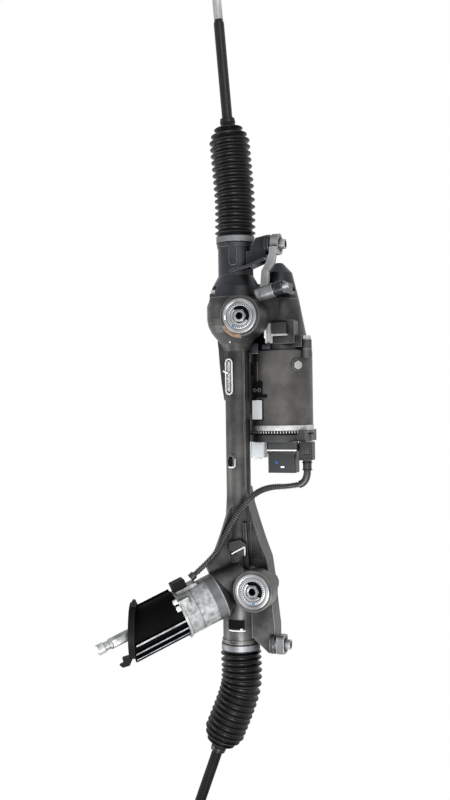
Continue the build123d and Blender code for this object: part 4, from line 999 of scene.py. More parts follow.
@dataclass(frozen=True)
class Bellows:
    """One convoluted bellows, bent along a line from the housing neck past the ball joint to the tie rod.

    Attributes:
        rod: The tie rod that it ends on.
        reach: Distance from the ball to the small collar.
        ball_lean: Sideways lean of the centre line at the ball.
        folds: Number of folds.
        crest: Radius of the crests.
        valley: Radius of the valleys.
        wall: Thickness of the rubber at a valley.
        cuff_start: Where the cuff starts along the rack bar.
        cuff_end: Where the cuff ends and the folds start.
        cuff_radius: Outer radius of the cuff.
        groove_radius: Radius of the clamp's groove in the cuff.
        neck_radius: Radius of the housing neck inside the cuff.
        collar_radius: Outer radius of the small collar.
        collar_length: Length of the small collar.
        bore: Radius of the small collar's bore.
        tail: Length of the tapered inside before the small collar.
        first_seam: Fold where the first part ends.
        second_seam: Fold where the second part ends.
        blend_margin: Folds beside each seam; the places found with it are not used.
        bead: Length of the beads beside the clamp's groove.
        neck_step: Where the inside has narrowed behind the housing neck.
        seam_wall: Least thickness of the rubber at a seam.
        tail_wall: Thickness of the rubber where the tapered inside starts.
        handles: Stiffness of the centre line at the cuff, the ball and the collar.
    """

    rod: Rod
    reach: float
    ball_lean: float
    folds: int = 17
    crest: float = 30.5
    valley: float = 25.4
    wall: float = 1.6
    cuff_start: float = 296.8
    cuff_end: float = 308.8
    cuff_radius: float = 28.6
    groove_radius: float = 27.6
    neck_radius: float = 26.4
    collar_radius: float = 11.0
    collar_length: float = 11.0
    bore: float = 8.3
    tail: float = 12.0
    first_seam: int = 8
    second_seam: int = 12
    blend_margin: float = 0.8
    bead: float = 2.0
    neck_step: float = 4.0
    seam_wall: float = 1.4
    tail_wall: float = 2.0
    handles: Place = (16.0, 22.0, 34.0)

    # Share of the pitch and share of the height along one fold
    FOLD = ((0.0, 0.0), (0.14, 0.04), (0.32, 0.5), (0.42, 0.9), (0.5, 1.0), (0.58, 0.9), (0.68, 0.5),
            (0.86, 0.04))
    NARROWING_FOLDS = 2.2
    ROUNDNESS = 0.7
    SLANT = 0.2
    SLIT = 0.01
    SMOOTH_ANGLE = 50.0
    STEPS = 72

    def centre_line(self) -> bpy.types.Object:
        """Draw the line that the folds follow.

        Returns:
            A Bezier curve without a thickness.
        """
        side, ball, way = self.rod.side, self.rod.ball(), self.rod.way()
        stations = [
            (Vector((0, side * self.cuff_end, 0)), Vector((0, side, 0))),
            (ball, Vector((self.ball_lean, side, 0)).normalized()),
            (ball + way * self.reach, way),
        ]
        curve, spline = bare_curve(self.rod.name() + "_bellows_line", "BEZIER", len(stations), 32)
        for knot, (place, lean), handle in zip(spline.bezier_points, stations, self.handles):
            knot.co = at(*place)
            knot.handle_left = at(*(place - lean * handle))
            knot.handle_right = at(*(place + lean * handle))
        return curve

    def taper(self, share: float) -> float:
        """Find the valley radius at a share of the length.

        Args:
            share: 0 at the cuff and 1 at the small collar.

        Returns:
            The radius, which narrows over the last folds.
        """
        left = min(1.0, (1.0 - share) * self.folds / self.NARROWING_FOLDS)
        least = self.collar_radius + 0.5
        return least + (self.valley - least) * left ** self.ROUNDNESS

    def outside(self, first: int, last: int, length: float) -> Outline:
        """Trace the outside of some folds, with the cuff or the small collar.

        Args:
            first: Fold to start at.
            last: Fold to end at.
            length: Length of all folds.

        Returns:
            Radius and height of each corner.
        """
        pitch = length / self.folds
        corners = []
        if first == 0:
            start, groove, cuff = self.cuff_start - self.cuff_end, self.groove_radius, self.cuff_radius
            corners += [(groove, start), (cuff, start + 0.8), (cuff, start + self.bead),
                        (groove, start + self.bead + self.SLANT), (groove, -self.bead + self.SLANT),
                        (cuff, -self.bead + 2 * self.SLANT), (cuff, -2 * self.SLANT)]
        for fold in range(first, last):
            for share, height in self.FOLD:
                where = (fold + share) * pitch
                corners.append((self.taper(where / length) + (self.crest - self.valley) * height, where))
        corners.append((self.taper(last * pitch / length), last * pitch))
        if last == self.folds:
            end = length + self.collar_length
            corners += [(self.collar_radius, length + 0.6), (self.collar_radius, end - 0.6),
                        (self.collar_radius - 0.8, end)]
        return corners

    def inside(self, first: int, last: int, length: float) -> Outline:
        """Trace the inside of some folds, from their end back to their start.

        Args:
            first: Fold to start at.
            last: Fold to end at.
            length: Length of all folds.

        Returns:
            Radius and height of each corner.
        """
        start, end = first * length / self.folds, last * length / self.folds
        inner = self.valley - self.wall
        if last == self.folds:
            tail = length - self.tail
            corners = [(self.bore, length + self.collar_length), (self.bore, length),
                       (self.taper(tail / length) - self.tail_wall, tail)]
        else:
            corners = [(min(inner, self.taper(end / length) - self.seam_wall), end)]
        if first == 0:
            corners += [(inner, self.neck_step), (self.neck_radius, 0.0),
                        (self.neck_radius, self.cuff_start - self.cuff_end + self.SLIT)]
        else:
            corners.append((inner, start + self.SLIT))
        return corners

    def segment(self, first: int, last: int, length: float, line: bpy.types.Object) -> bpy.types.Object:
        """Turn some folds and bend them along the centre line.

        Args:
            first: Fold to start at.
            last: Fold to end at.
            length: Length of all folds.
            line: The centre line.

        Returns:
            The bent folds.
        """
        outer = self.outside(first, last, length)
        profile = outer + self.inside(first, last, length) + outer[:1]
        piece = Model.lathe("%s_bellows_%d" % (self.rod.name(), first), profile, self.STEPS)
        return Model.apply(piece, "CURVE", object=line, deform_axis="POS_Z")

    def build(self) -> None:
        """Build the three parts."""
        name = self.rod.name()
        line = self.centre_line()
        places = curve_places(line)
        length = path_length(places) / MM
        seat, rod = Body(name + "_seat"), Body(name + "_rod")
        stages = [(0, self.first_seam, Body.HOUSING, Body.RACK),
                  (self.first_seam, self.second_seam, Body.RACK, seat),
                  (self.second_seam, self.folds, seat, rod)]
        for first, last, before, after in stages:
            piece = self.segment(first, last, length, line)
            Model.smooth(piece, self.SMOOTH_ANGLE)
            paint(piece, BELLOWS_RUBBER)
            start = first + self.blend_margin * (first > 0)
            end = min(last, self.folds - 1) - self.blend_margin
            ends = [self.point(places, fold / self.folds) for fold in (start, end)]
            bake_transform(piece)
            if first == 0:
                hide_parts(name + "_bellows")
        bpy.data.objects.remove(line)
        LOG.info("built %s bellows, %.1f mm long", name, length)

    @staticmethod
    def point(places: list[Vector], share: float) -> Vector:
        """Find a place along the centre line.

        Args:
            places: Points of the line.
            share: Share of its length.

        Returns:
            The place in metres.
        """
        left = path_length(places) * share
        for before, after in zip(places, places[1:]):
            step = (after - before).length
            if left <= step:
                return before.lerp(after, left / step)
            left -= step
        return places[-1]


CABLE_ROUTE = [
    (87.9, -62.9, -20), (70.7, -66.0, -17), (53.8, -65.5, -8), (39.0, -68.5, 6.5), (27.0, -77.0, 19.5),
    (15.6, -91.8, 26.5), (2.9, -111.6, 31.0), (-9.1, -133.4, 35.0), (-19.8, -155.0, 39.0),
    (-34.6, -173.6, 45.0), (-52.2, -190.4, 54),
]


@dataclass(frozen=True)
class Conduit:
    """The corrugated conduit from the sensor plug to the tower.

    Attributes:
        core: Radius of its tube.
        rib: Radius of its ribs.
        pitch: Distance between ribs.
        width: Width of a rib at its foot.
        margin: Plain length at each end.
        sink: How deep a rib's foot stands in the tube.
        slope: Length of a rib's flank.
    """

    core: float = 3.5
    rib: float = 4.8
    pitch: float = 3.3
    width: float = 1.5
    margin: float = 2.0
    sink: float = 0.2
    slope: float = 0.35

    def build(self) -> None:
        """Build the tube as a cord and the ribs on it."""
        line = route_curve("conduit_line", CABLE_ROUTE)
        places = curve_places(line)
        length = path_length(places)
        ribs = self.ribs(length / MM, line)
        tube = route_curve("conduit", CABLE_ROUTE)
        tube.data.bevel_depth = self.core * MM
        tube.data.bevel_resolution = 4
        tube.data.use_fill_caps = True
        tube.data.materials.append(CONDUIT.material())
        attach(tube, Body.HOUSING.value)
        finish_piece(ribs, CONDUIT_RIB_SHEEN)
        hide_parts("sensor_cable")
        bpy.data.objects.remove(line)
        LOG.info("built conduit, %.1f mm long", length / MM)

    def ribs(self, length: float, line: bpy.types.Object) -> bpy.types.Object:
        """Turn the ribs and bend them along the route.

        Args:
            length: Length of the route.
            line: The route.

        Returns:
            The ribs.
        """
        low, shoulder = self.core - self.sink, self.rib - self.sink / 2
        profile = []
        for index in range(int((length - 2 * self.margin) / self.pitch)):
            start = self.margin + index * self.pitch
            end = start + self.width
            profile += [(low, start), (shoulder, start + self.slope), (self.rib, (start + end) / 2),
                        (shoulder, end - self.slope), (low, end)]
        ribs = Model.lathe("conduit_ribs", profile, 20)
        return Model.apply(ribs, "CURVE", object=line, deform_axis="POS_Z")


def stadium(length: float, width: float, steps: int = 10) -> Outline:
    """Trace a long slot with round ends.

    Args:
        length: Overall length along X.
        width: Width along Y.
        steps: Steps round each end.

    Returns:
        Corners in order.
    """
    reach, radius = (length - width) / 2, width / 2
    corners = []
    for side in (1, -1):
        for step in range(steps + 1):
            angle = math.pi * (step / steps - 0.5)
            corners.append((side * (reach + radius * math.cos(angle)), side * radius * math.sin(angle)))
    return corners


@dataclass(frozen=True)
class BushEye:
    """The face of one mounting bush: bright ring, marked ring, crescent and sleeve.

    Attributes:
        name: Start of its pieces' names.
        middle: Centre of the bush.
        dot_turn: Where the paint dot sits, in degrees from up the rack bar.
        crescent_turn: Where the crescent starts.
        outer: Outer radius of the bright ring.
        inner: Inner radius of the bright ring.
        band_inner: Inner radius of the marked ring.
        band_outer: Outer radius of the marked ring.
        void_inner: Inner radius of the painted shade in the void.
        mark_radius: Where the marks stand.
        mark_size: Length across the ring, width and height of a mark.
        marks: Number of marks.
        dot_radius: Where the paint dot stands.
        dot_size: Width across the ring, length round it and height of the dot.
    """

    name: str
    middle: tuple[float, float]
    dot_turn: float
    crescent_turn: float
    outer: float = 25.6
    inner: float = 21.6
    band_inner: float = 14.8
    band_outer: float = 19.0
    void_inner: float = 9.0
    mark_radius: float = 16.9
    mark_size: Place = (2.4, 1.4, 0.3)
    marks: int = 36
    dot_radius: float = 17.3
    dot_size: Place = (2.4, 4.2, 0.5)

    # Radius and height round the crescent and round the end of the sleeve
    CRESCENT = [(10.2, -3.2), (10.4, -0.8), (11.2, -0.4), (13.4, -0.4), (14.2, -1.0), (14.4, -3.2)]
    CRESCENT_LENGTH = 200.0
    SLEEVE = [(5.3, 0.3), (5.4, 1.2), (6.4, 1.6), (7.6, 1.6), (8.4, 1.0), (8.5, 0.3)]

    def ring(self) -> Outline:
        """Trace the section of the bright ring.

        Returns:
            Radius and height of each corner.
        """
        foot = (self.outer - 0.4, -4.0)
        return [foot, (self.outer, -1.5), (self.outer - 0.5, 0.3), (self.outer - 1.6, 0.9), (self.inner, 0.7),
                (self.inner - 1.0, -0.1), (self.inner - 1.1, -3.0), foot]

    def band(self) -> Outline:
        """Trace the section of the marked ring.

        Returns:
            Radius and height of each corner.
        """
        low, high = self.band_inner, self.band_outer
        return [(low, -2.6), (low + 0.2, -0.6), (low + 0.8, -0.1), (high - 0.8, -0.1), (high - 0.2, -0.5),
                (high, -2.6), (low, -2.6)]

    def build(self) -> None:
        """Build the eye."""
        stand = Spot((*self.middle, BUSH_TOP)).matrix()
        set_on(Model.lathe(self.name + "_ring", self.ring(), 96), stand, EYE_RING)
        set_on(Model.lathe(self.name + "_band", self.band(), 96), stand, MARK_RING)
        mark = Model.block(self.name + "_marks", self.mark_size, (self.mark_radius, 0, 0))
        set_on(Model.row_round(mark, self.marks), stand, BLACK_AND_PAINTED_SHADE)
        # Painted shade: a black sheet deep in the bush's void
        void_shade = [(self.void_inner, -3.4), (self.band_inner + 0.2, -3.4)]
        set_on(Model.lathe(self.name + "_void_shade", void_shade), stand, BLACK_AND_PAINTED_SHADE)
        crescent = Model.lathe(self.name + "_crescent", self.CRESCENT, 32, self.CRESCENT_LENGTH)
        set_on(crescent, Spot((*self.middle, BUSH_TOP), turn=self.crescent_turn).matrix(), EYE_RING)
        set_on(Model.lathe(self.name + "_sleeve", self.SLEEVE, 48), stand, EYE_RING)
        angle = math.radians(self.dot_turn)
        x, y = self.middle
        dot = (x - self.dot_radius * math.sin(angle), y + self.dot_radius * math.cos(angle), BUSH_TOP)
        Chip(dot, self.dot_size, PAINT_BLUE, turn=self.dot_turn, bevel=0.2).build(self.name + "_dot")


@dataclass(frozen=True)
class TubeDressing:
    """Small forms along the housing tube and the lower casting.

    Attributes:
        recess_length: Length of the recess in the tube.
        recess_width: Width of the recess.
        rim: Width of the bright rim round the recess.
        pocket_length: Length of the pocket in the tube.
        pocket_width: Width of the pocket.
        rib_low: Height of the bottom of the facet on the web.
        rib_high: Height of its top.
        wax_start: Where the wax starts round the upper bush, in degrees.
        wax_length: Length of the wax round the bush, in degrees.
    """

    recess_length: float = 54.0
    recess_width: float = 12.6
    rim: float = 1.8
    pocket_length: float = 17.0
    pocket_width: float = 10.0
    rib_low: float = 14.0
    rib_high: float = 26.8
    wax_start: float = 183.0
    wax_length: float = 64.0

    RECESS = Spot((-6.6, 99.0, 19.6), (-0.24, 0.0, 0.97))
    POCKET = Spot((-4.6, -27.0, 18.9), (-0.29, 0.0, 0.96))
    RIB_BLOCK = [(-7.5, -146), (10, -142), (18, -148), (18, -165), (12, -165), (-7.5, -157)]
    WAX = [(25.8, -2.0), (26.4, -0.9), (29.4, -1.0), (31.4, -3.4), (31.8, -6.0)]
    CHIPS = {
        "recess_clip": Chip((-12.0, 106.0, 19.6), (8.5, 2.6, 1.4), BRIGHT, RECESS.normal, 68.0),
        "tube_hole": Chip((-2.4, 150.0, 25.6), (2.6, 2.6, 0.8), BRIGHT, (-0.07, -0.68, 0.73)),
        "pocket_side": Chip((0.9, -28.5, 19.6), (12.0, 1.6, 1.4), BRIGHT, (-0.1, 0.0, 1.0)),
        "pocket_end": Chip((-4.6, -35.4, 19.0), (2.0, 10.0, 1.6), BRIGHT, POCKET.normal),
        "rib_lip": Chip((6.2, -157.4, 27.0), (2.0, 23.0, 1.2), BRIGHT, turn=28.6),
        "neck_spot": Chip((9.5, -274.0, 25.0), (2.4, 3.6, 0.8), BRIGHT, (0.36, 0.0, 0.93)),
        "rib_corner": Chip((16.8, -157.8, 27.0), (13.0, 1.8, 1.0), BRIGHT),
        # A painted highlight on the housing beside the upper bush
        "eye_highlight": Chip((2.8, 183.3, 61.5), (7.0, 3.0, 0.8), BRIGHT),
    }

    def build(self) -> None:
        """Build all of them."""
        rim = Model.prism("recess_rim", self.recess_line(0.0), low=-0.8, high=0.5)
        Model.cut(rim, Model.prism("recess_hole", self.recess_line(self.rim), low=-2.0, high=2.0))
        set_on(rim, self.RECESS.matrix(), BRIGHT)
        ground = Model.prism("recess_floor", self.recess_line(self.rim + 0.2), low=-1.0, high=-0.4)
        set_on(ground, self.RECESS.matrix(), RAW_METAL)
        # Painted shade: a black patch on the tube stands for the shade in its pocket
        pocket = stadium(self.pocket_length, self.pocket_width)
        set_on(Model.prism("pocket_shade_floor", pocket, low=-0.6, high=0.4), self.POCKET.matrix(), BLACK_AND_PAINTED_SHADE)
        block = Model.prism("rib_block", self.RIB_BLOCK, self.rib_low, self.rib_high)
        set_on(block, basis(at(0, 0, 0), Vector((0, 0, 1)), Vector((1, 0, 0))), COVER_GREY)
        for name, piece in self.CHIPS.items():
            piece.build(name)
        # Painted shade: a black shell on the neck stands for the shade in its pocket
        self.neck_mark("neck_pocket_shade", (-274.2, -260.4), radius=26.6, start=31.0, turn=55.0, finish=BLACK_AND_PAINTED_SHADE)
        self.neck_mark("neck_sill", (-277.2, -275.6), radius=26.8, start=33.0, turn=56.0, finish=BRIGHT)
        smear = Spot((UPPER_BUSH_X, UPPER_BUSH_Y, BUSH_TOP), turn=self.wax_start)
        set_on(Model.lathe("wax_arc", self.WAX, 20, self.wax_length), smear.matrix(), WAX)

    def recess_line(self, inset: float) -> Outline:
        """Trace the recess, set in from its outer edge.

        Args:
            inset: Distance from the outer edge.

        Returns:
            Corners in order.
        """
        return stadium(self.recess_length - 2 * inset, self.recess_width - 2 * inset)

    @staticmethod
    def neck_mark(name: str, reach: tuple[float, float], radius: float, start: float, turn: float,
                  finish: Finish) -> None:
        """Lay a thin shell round part of the lower neck.

        Args:
            name: Name of the piece.
            reach: Where it starts and ends along the rack bar.
            radius: Outer radius of the shell.
            start: Where it starts round the neck, in degrees.
            turn: Length round the neck, in degrees.
            finish: Its surface.
        """
        low, high = reach
        foot = radius - 0.6
        shell = Model.lathe(name, [(foot, low), (radius, low), (radius, high), (foot, high)], 20, turn)
        stand = basis(at(0, 0, 0), Vector((0, 1, 0)), Vector((0, 0, 1)))
        set_on(shell, stand @ Matrix.Rotation(math.radians(start), 4, "Z"), finish)


@dataclass(frozen=True)
class MotorDressing:
    """Ring of teeth, plates and marks on the motor, its control unit and the gear case above it.

    Attributes:
        axis_x: Place of the motor's axis across the rack bar.
        axis_z: Height of the motor's axis.
        radius: Radius of the motor at the toothed ring.
        ring_y: Where the toothed ring starts along the rack bar.
        teeth: Number of teeth on the ring.
        tooth: Height, width and length of a tooth.
        hole_middle: Middle between the two holes of the switch plate.
        hole_spread: Distance of each hole from their middle.
        plug_x: Place of the sensor plug across the rack bar.
        plug_z: Height of the sensor plug's axis.
        collar_section: Radius of the section of the plug's collars.
    """

    axis_x: float = 53.0
    axis_z: float = -48.5
    radius: float = 49.5
    ring_y: float = 11.4
    teeth: int = 72
    tooth: Place = (1.2, 1.5, 3.4)
    hole_middle: Place = (30.4, 78.6, -2.0)
    hole_spread: float = 4.2
    plug_x: float = 101.0
    plug_z: float = -20.0
    collar_section: float = 0.9

    TILT = (-0.36, 0.0, 0.93)
    HOLE = [(0, 0.2), (1.6, 0.2), (2.2, 0.9), (3.1, 0.9), (3.3, 0.1)]
    DOT = [(0, 0.3), (1.9, 0.3), (2.1, 0)]
    DOT_SPOT = Spot((57.3, -29.5, -8.0))
    MARK = [(2.4, 0.1), (2.4, 0.8), (3.8, 0.8), (3.8, 0.1)]
    MARK_SPOT = Spot((103.4, -18.4, -9.0), turn=90.0)
    # Place along the plug and radius of each collar
    COLLARS = ((-30.0, 7.0), (-40.6, 6.8))
    CHIPS = {
        "switch_plate": Chip((30.4, 81.5, -3.6), (19.0, 17.0, 3.4), BLACK_AND_PAINTED_SHADE, TILT, bevel=0.6),
        "plate_fin": Chip((35.0, 69.5, -2.6), (4.5, 24.0, 3.4), BLACK_AND_PAINTED_SHADE, TILT, bevel=1.2),
        "label_edge": Chip((30.0, 49.0, -4.4), (31.0, 21.0, 1.2), BLACK_AND_PAINTED_SHADE, TILT, bevel=0.2),
        "label": Chip((29.4, 49.2, -3.9), (28.6, 18.0, 1.2), LABEL, TILT, bevel=0.1),
        "cover_step": Chip((92.0, 0.4, -14.2), (2.4, 25.0, 1.6), BRIGHT, (0.5, 0.0, 0.87)),
        "nose_rim": Chip((66.0, -11.3, -5.0), (2.4, 46.0, 1.6), BRIGHT, bevel=0.6),
        "cover_lip": Chip((31.0, 0.6, -8.4), (2.4, 18.0, 1.6), ZINC, (-0.45, 0.0, 0.89), bevel=0.6),
        "connector_slot": Chip((66.2, -36.2, -8.0), (2.6, 5.6, 0.5), BRIGHT, bevel=0.1),
        "connector_collar": Chip((64.5, -14.6, -8.2), (4.0, 43.4, 2.0), BLACK_PLASTIC, bevel=0.8),
        "connector_rail_0": Chip((45.6, -29.0, -8.2), (28.0, 1.8, 1.6), BLACK_PLASTIC, bevel=0.4),
        "connector_rail_1": Chip((83.4, -29.0, -8.2), (28.0, 1.8, 1.6), BLACK_PLASTIC, bevel=0.4),
        "cap_lid": Chip((25.3, -12.0, -15.2), (20.0, 18.0, 1.6), PALE_PLASTIC, bevel=0.8),
        "cap_tab": Chip((25.3, -24.6, -18.0), (3.0, 12.0, 3.0), PALE_PLASTIC, bevel=0.8),
        "plug_latch": Chip((101.0, -9.0, -9.4), (16.0, 12.0, 3.0), BLACK_PLASTIC, bevel=0.8),
        "plug_band": Chip((101.0, -25.0, -9.2), (3.0, 21.2, 1.8), BLACK_PLASTIC, bevel=0.6),
        "case_ear_left": Chip((25.5, 141.5, -11.0), (17.0, 16.0, 20.0), CASE_BLUE, bevel=2.4),
        "case_ear_middle": Chip((46.0, 143.0, -2.0), (9.0, 14.0, 12.0), CASE_BLUE, bevel=2.4),
        "case_ear_edge": Chip((25.5, 133.6, -1.4), (1.6, 14.0, 1.0), SLEEVE_GREY),
        "bracket_edge": Chip((47.2, 165.5, 9.4), (22.0, 2.6, 2.0), BRIGHT, (-0.3, 0.0, 1.0), bevel=0.6),
    }

    def build(self) -> None:
        """Build all of them."""
        self.toothed_ring()
        for name, piece in self.CHIPS.items():
            piece.build(name)
        x, y, z = self.hole_middle
        lean, _, up = self.TILT
        for index, across in enumerate((-self.hole_spread, self.hole_spread)):
            hole = Spot((x + across * up, y, z - across * lean), self.TILT)
            set_on(Model.lathe("switch_hole_%d" % index, self.HOLE, 24), hole.matrix(), MOTOR_BROWN)
        set_on(Model.lathe("connector_dot", self.DOT, 24), self.DOT_SPOT.matrix(), PAINT_BLUE)
        set_on(Model.lathe("plug_mark", self.MARK, 16, HALF_TURN), self.MARK_SPOT.matrix(), BLACK_AND_PAINTED_SHADE)
        for index, (along, radius) in enumerate(self.COLLARS):
            collar = Model.ring("plug_collar_%d" % index, radius, self.collar_section)
            set_on(collar, along_y(along, self.plug_x, self.plug_z), CONDUIT)

    def toothed_ring(self) -> None:
        """Turn the ring between the motor and its control unit, with its teeth."""
        stand = along_y(self.ring_y, self.axis_x, self.axis_z)
        inner, outer = self.radius - 2, self.radius + 0.6
        ring = Model.lathe("toothed_ring", [(inner, 0), (outer - 0.3, 0), (outer, 0.6), (outer, 6.0),
                                            (inner, 6.4)], 96)
        set_on(ring, stand, BLACK_AND_PAINTED_SHADE)
        tooth = Model.block("ring_teeth", self.tooth, (self.radius + 0.5, 0, 4.0))
        set_on(Model.row_round(tooth, self.teeth), stand, BAND_ALLOY)


@dataclass(frozen=True)
class TowerDressing:
    """Pieces on the pinion tower and its boot.

    Attributes:
        boot_shift: Distance of the boot's axis from the tower's, towards the cable.
        boot_start: Where the boot starts along the tower's axis.
        glint_radius: Distance of the painted glints on the ribs from the boot's axis.
        glint_width: Width of a painted glint.
        glint_height: Thickness of a painted glint.
        foot_place: Middle of the foot of the bulkhead plate.
        tip_place: Middle of its tip.
    """

    boot_shift: float = 5.0
    boot_start: float = 108.0
    glint_radius: float = 36.7
    glint_width: float = 2.6
    glint_height: float = 0.8
    foot_place: Place = (-133.0, -303.0, 122.0)
    tip_place: Place = (-122.5, -225.0, 116.0)

    ORIGIN = Vector((11.44, -205.27, 10.39))
    AXIS = Vector((-0.757823, -0.395546, 0.518892))
    FRONT = Vector((0.565, 0.0, 0.825))
    # Start, length, radius and finish of each band round the tower
    BANDS = {
        "tower_sleeve": (45.0, 14.0, 34.25, SLEEVE_GREY),
        "tower_seam": (83.4, 1.4, 34.1, MOTOR_BROWN),
        "tower_flange": (104.4, 1.4, 36.4, ZINC),
    }
    SCREW = [(0, 6.4), (2.2, 6.4), (2.6, 4.4), (4.2, 6.0), (4.4, 0)]
    SCREW_PLACES = ((25.0, 26.5), (31.5, 18.0))
    # Angle round the boot and length of each painted glint along a rib
    GLINTS = ((-10, 79), (-30, 84), (-50, 85), (-70, 85), (-90, 83))
    PLATE_FACE = Vector((0.33, 0, 0.945))
    PLATE_SIDE = Vector((0.945, 0, -0.33))
    FOOT = [(-5, 2), (6, 5), (9, -2), (6, -9), (-4, -12), (-9, -8), (-3, -5)]
    TIP = [(-3, -4), (4, -4), (3, 5), (-1, 6), (-3, 3)]

    def stand(self, height: float, across: float = 0.0, up: float = 0.0) -> Matrix:
        """Find a place on the tower.

        Args:
            height: Distance along the tower's axis.
            across: Distance towards the viewer.
            up: Distance towards the cable.

        Returns:
            A matrix whose Z axis is the tower's axis.
        """
        side = self.AXIS.cross(self.FRONT)
        place = self.ORIGIN + self.AXIS * height + self.FRONT * across + side * up
        return basis(at(*place), self.AXIS, self.FRONT)

    def build(self) -> None:
        """Build all of them."""
        for name, (start, long, radius, finish) in self.BANDS.items():
            profile = [(radius - 1, 0), (radius, 0.2), (radius, long - 0.2), (radius - 1, long)]
            set_on(Model.lathe(name, profile, 72), self.stand(start), finish)
        for index, (across, up) in enumerate(self.SCREW_PLACES):
            head = Model.lathe("tower_screw_%d" % index, self.SCREW, 6)
            set_on(head, self.stand(self.boot_start, across, up), BRIGHT)
        self.paint_boot_glints()
        foot = Model.prism("bulkhead_foot", self.FOOT, low=-5.0, high=4.0)
        set_on(foot, basis(at(*self.foot_place), self.PLATE_FACE, self.PLATE_SIDE), MATTE_BLACK)
        tip = Model.prism("bulkhead_tip", self.TIP, low=-4.0, high=4.0)
        set_on(tip, basis(at(*self.tip_place), self.PLATE_FACE, self.PLATE_SIDE), MATTE_BLACK)

    def paint_boot_glints(self) -> None:
        """Lay painted glints, reflections of the light, along the boot's lower ribs."""
        start = self.stand(self.boot_start, 0.0, self.boot_shift)
        for index, (angle, length) in enumerate(self.GLINTS):
            size = (self.glint_height, self.glint_width, length)
            edge = Model.block("boot_glint_%d" % index, size, (self.glint_radius, 0, length / 2), 0.2)
            set_on(edge, start @ Matrix.Rotation(math.radians(angle), 4, "Z"), GLINT)


@dataclass(frozen=True)
class RodThread:
    """The rolled thread at the end of one tie rod.

    Attributes:
        rod: The tie rod.
        start: Distance from the ball to the thread.
        end: Distance from the ball to the thread's end.
        radius: Radius of the thread's roots.
        pitch: Distance between ridges.
    """

    rod: Rod
    start: float = 280.0
    end: float = 332.0
    radius: float = 6.6
    pitch: float = 1.5

    def build(self) -> None:
        """Turn the thread's ridges."""
        inner, root = self.radius - 0.6, self.radius + 0.05
        profile = [(inner, 0.0)]
        for index in range(int((self.end - self.start) / self.pitch)):
            low = index * self.pitch
            profile += [(root, low + 0.2), (root + 0.3, low + self.pitch / 2), (root, low + self.pitch - 0.2)]
        profile.append((inner, self.end - self.start))
        name, way = self.rod.name(), self.rod.way()
        stand = basis(at(*(self.rod.ball() + way * self.start)), way, Vector((0, 0, 1)))
        set_on(Model.lathe(name + "_thread", profile, 32), stand, ZINC, Body(name + "_rod"))


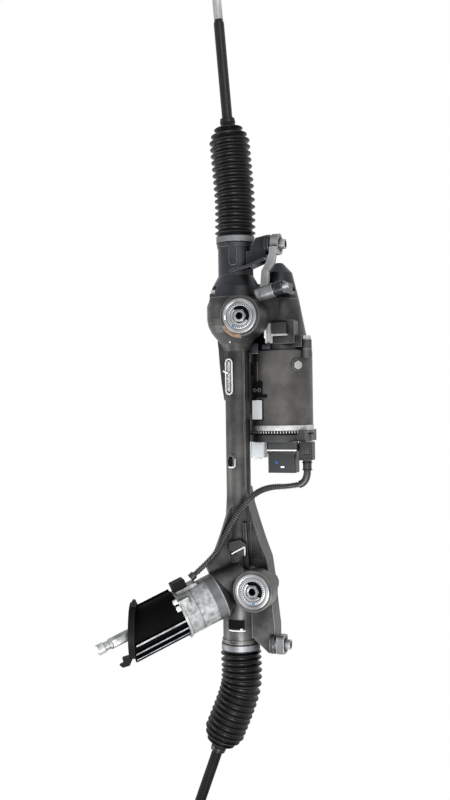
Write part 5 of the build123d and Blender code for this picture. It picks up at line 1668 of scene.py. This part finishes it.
@dataclass(frozen=True)
class Studio:
    """Floor, backdrop, lamps and camera.

    Attributes:
        floor_drop: Distance of the floor below the part, in metres.
        floor_size: Edge length of the floor, in metres.
        floor_rough: Roughness of the floor.
        world_light: Strength of the light from everywhere.
        clip_end: How far the camera sees, in metres.
    """

    floor_drop: float = 0.16
    floor_size: float = 14.0
    floor_rough: float = 0.9
    world_light: float = 0.09
    clip_end: float = 50.0

    FLOOR_COLOUR = (0.8, 0.8, 0.8, 1)
    WHITE = (1, 1, 1, 1)
    # Place in the rack frame, edge length in metres and power in watts
    LAMPS = {
        "key": ((420.0, -850.0, 1250.0), 0.45, 28.0),
        "side": ((-1050.0, -450.0, 400.0), 0.6, 9.0),
        "fill": ((700.0, 800.0, 1000.0), 0.8, 5.0),
    }

    def build(self) -> None:
        """Build the whole studio."""
        self.camera()
        self.floor()
        self.world()
        for name, (place, size, power) in self.LAMPS.items():
            self.lamp(name, place, size, power)
        bpy.context.scene.view_settings.view_transform = "Standard"
        LOG.info("studio ready")

    def camera(self) -> None:
        """Stand the camera where the photograph was taken."""
        across = Vector((math.cos(CAMERA_TILT), 0, -math.sin(CAMERA_TILT)))
        back = Vector((math.sin(CAMERA_TILT), 0, math.cos(CAMERA_TILT)))
        along = Vector((0, 1, 0))
        right = across * math.cos(CAMERA_ROLL) - along * math.sin(CAMERA_ROLL)
        up = along * math.cos(CAMERA_ROLL) + across * math.sin(CAMERA_ROLL)
        eye = across * CAMERA_ACROSS + along * CAMERA_ALONG + back * CAMERA_DISTANCE
        bpy.ops.object.camera_add()
        camera = bpy.context.object
        matrix = Matrix((right, up, back)).transposed().to_4x4()
        matrix.translation = at(*eye)
        camera.matrix_world = matrix
        camera.data.sensor_width = SENSOR
        camera.data.lens = SENSOR * FOCAL_SHARE
        camera.data.clip_end = self.clip_end
        bpy.context.scene.camera = camera

    def floor(self) -> None:
        """Lay a plain floor well under the part, which looks white."""
        low = CAD_BOX[0].z - self.floor_drop
        bpy.ops.mesh.primitive_plane_add(size=self.floor_size, location=(0, 0, low))
        floor = bpy.context.object
        floor.name = "floor"
        bpy.ops.object.transform_apply(location=True, rotation=True, scale=True)
        made = bpy.data.materials.new("floor_white")
        made.use_nodes = True
        graph = Graph(made.node_tree)
        shader = graph.fill(graph.tree.nodes["Principled BSDF"], {
            "Base Color": self.FLOOR_COLOUR, "Roughness": self.floor_rough})
        glow = graph.add("Emission", "Emission", {})
        mixed = graph.add("MixShader", "Shader", {"Fac": self.seen_rays(graph), 1: shader.outputs["BSDF"],
                                                  2: glow})
        graph.fill(graph.tree.nodes["Material Output"], {"Surface": mixed})
        floor.data.materials.append(made)

    @staticmethod
    def seen_rays(graph: Graph) -> Socket:
        """Tell the rays that see the white background: camera, transmission and glossy rays.

        Args:
            graph: Node tree of the floor or the world.

        Returns:
            A socket that is 1 for those rays.
        """
        rays = graph.tree.nodes.new("ShaderNodeLightPath").outputs
        either = graph.add("Math", "Value", {0: rays["Is Camera Ray"], 1: rays["Is Transmission Ray"]},
                           operation="MAXIMUM")
        return graph.add("Math", "Value", {0: either, 1: rays["Is Glossy Ray"]}, operation="MAXIMUM")

    def world(self) -> None:
        """Light the part softly from everywhere and show white behind it."""
        world = bpy.context.scene.world or bpy.data.worlds.new("studio")
        bpy.context.scene.world = world
        world.use_nodes = True
        graph = Graph(world.node_tree)
        strength = graph.spread(self.seen_rays(graph), 0.0, 1.0, self.world_light, 1.0)
        graph.fill(graph.tree.nodes["Background"], {"Color": self.WHITE, "Strength": strength})

    @staticmethod
    def lamp(name: str, place: Place, size: float, power: float) -> None:
        """Hang one soft square lamp that points at the middle of the part.

        Args:
            name: Name of the lamp.
            place: Its place in the rack frame.
            size: Edge length in metres.
            power: Power in watts.
        """
        bpy.ops.object.light_add(type="AREA")
        lamp = bpy.context.object
        lamp.name = name
        origin = at(*place)
        back = (origin - at(0.0, 0.0, 0.0)).normalized()
        lamp.matrix_world = basis(origin, back, Vector((1, 0, 0)))
        lamp.data.size = size
        lamp.data.energy = power


def main() -> None:
    """Build the scene in order."""
    logging.basicConfig(level=logging.INFO)
    Studio().build()
    paint_nodes()
    upper, lower = Rod(1, 4.5), Rod(-1, 20.2)
    Bellows(upper, reach=118.5, ball_lean=-0.02).build()
    Bellows(lower, reach=103.0, ball_lean=-0.096).build()
    Conduit().build()
    BushEye("upper_eye", (UPPER_BUSH_X, UPPER_BUSH_Y), 148.0, 240.0).build()
    BushEye("lower_eye", (38.0, -210.6), 186.0, 232.0).build()
    TubeDressing().build()
    MotorDressing().build()
    TowerDressing().build()
    RodThread(upper).build()
    RodThread(lower).build()


if __name__ == "__main__":
    main()
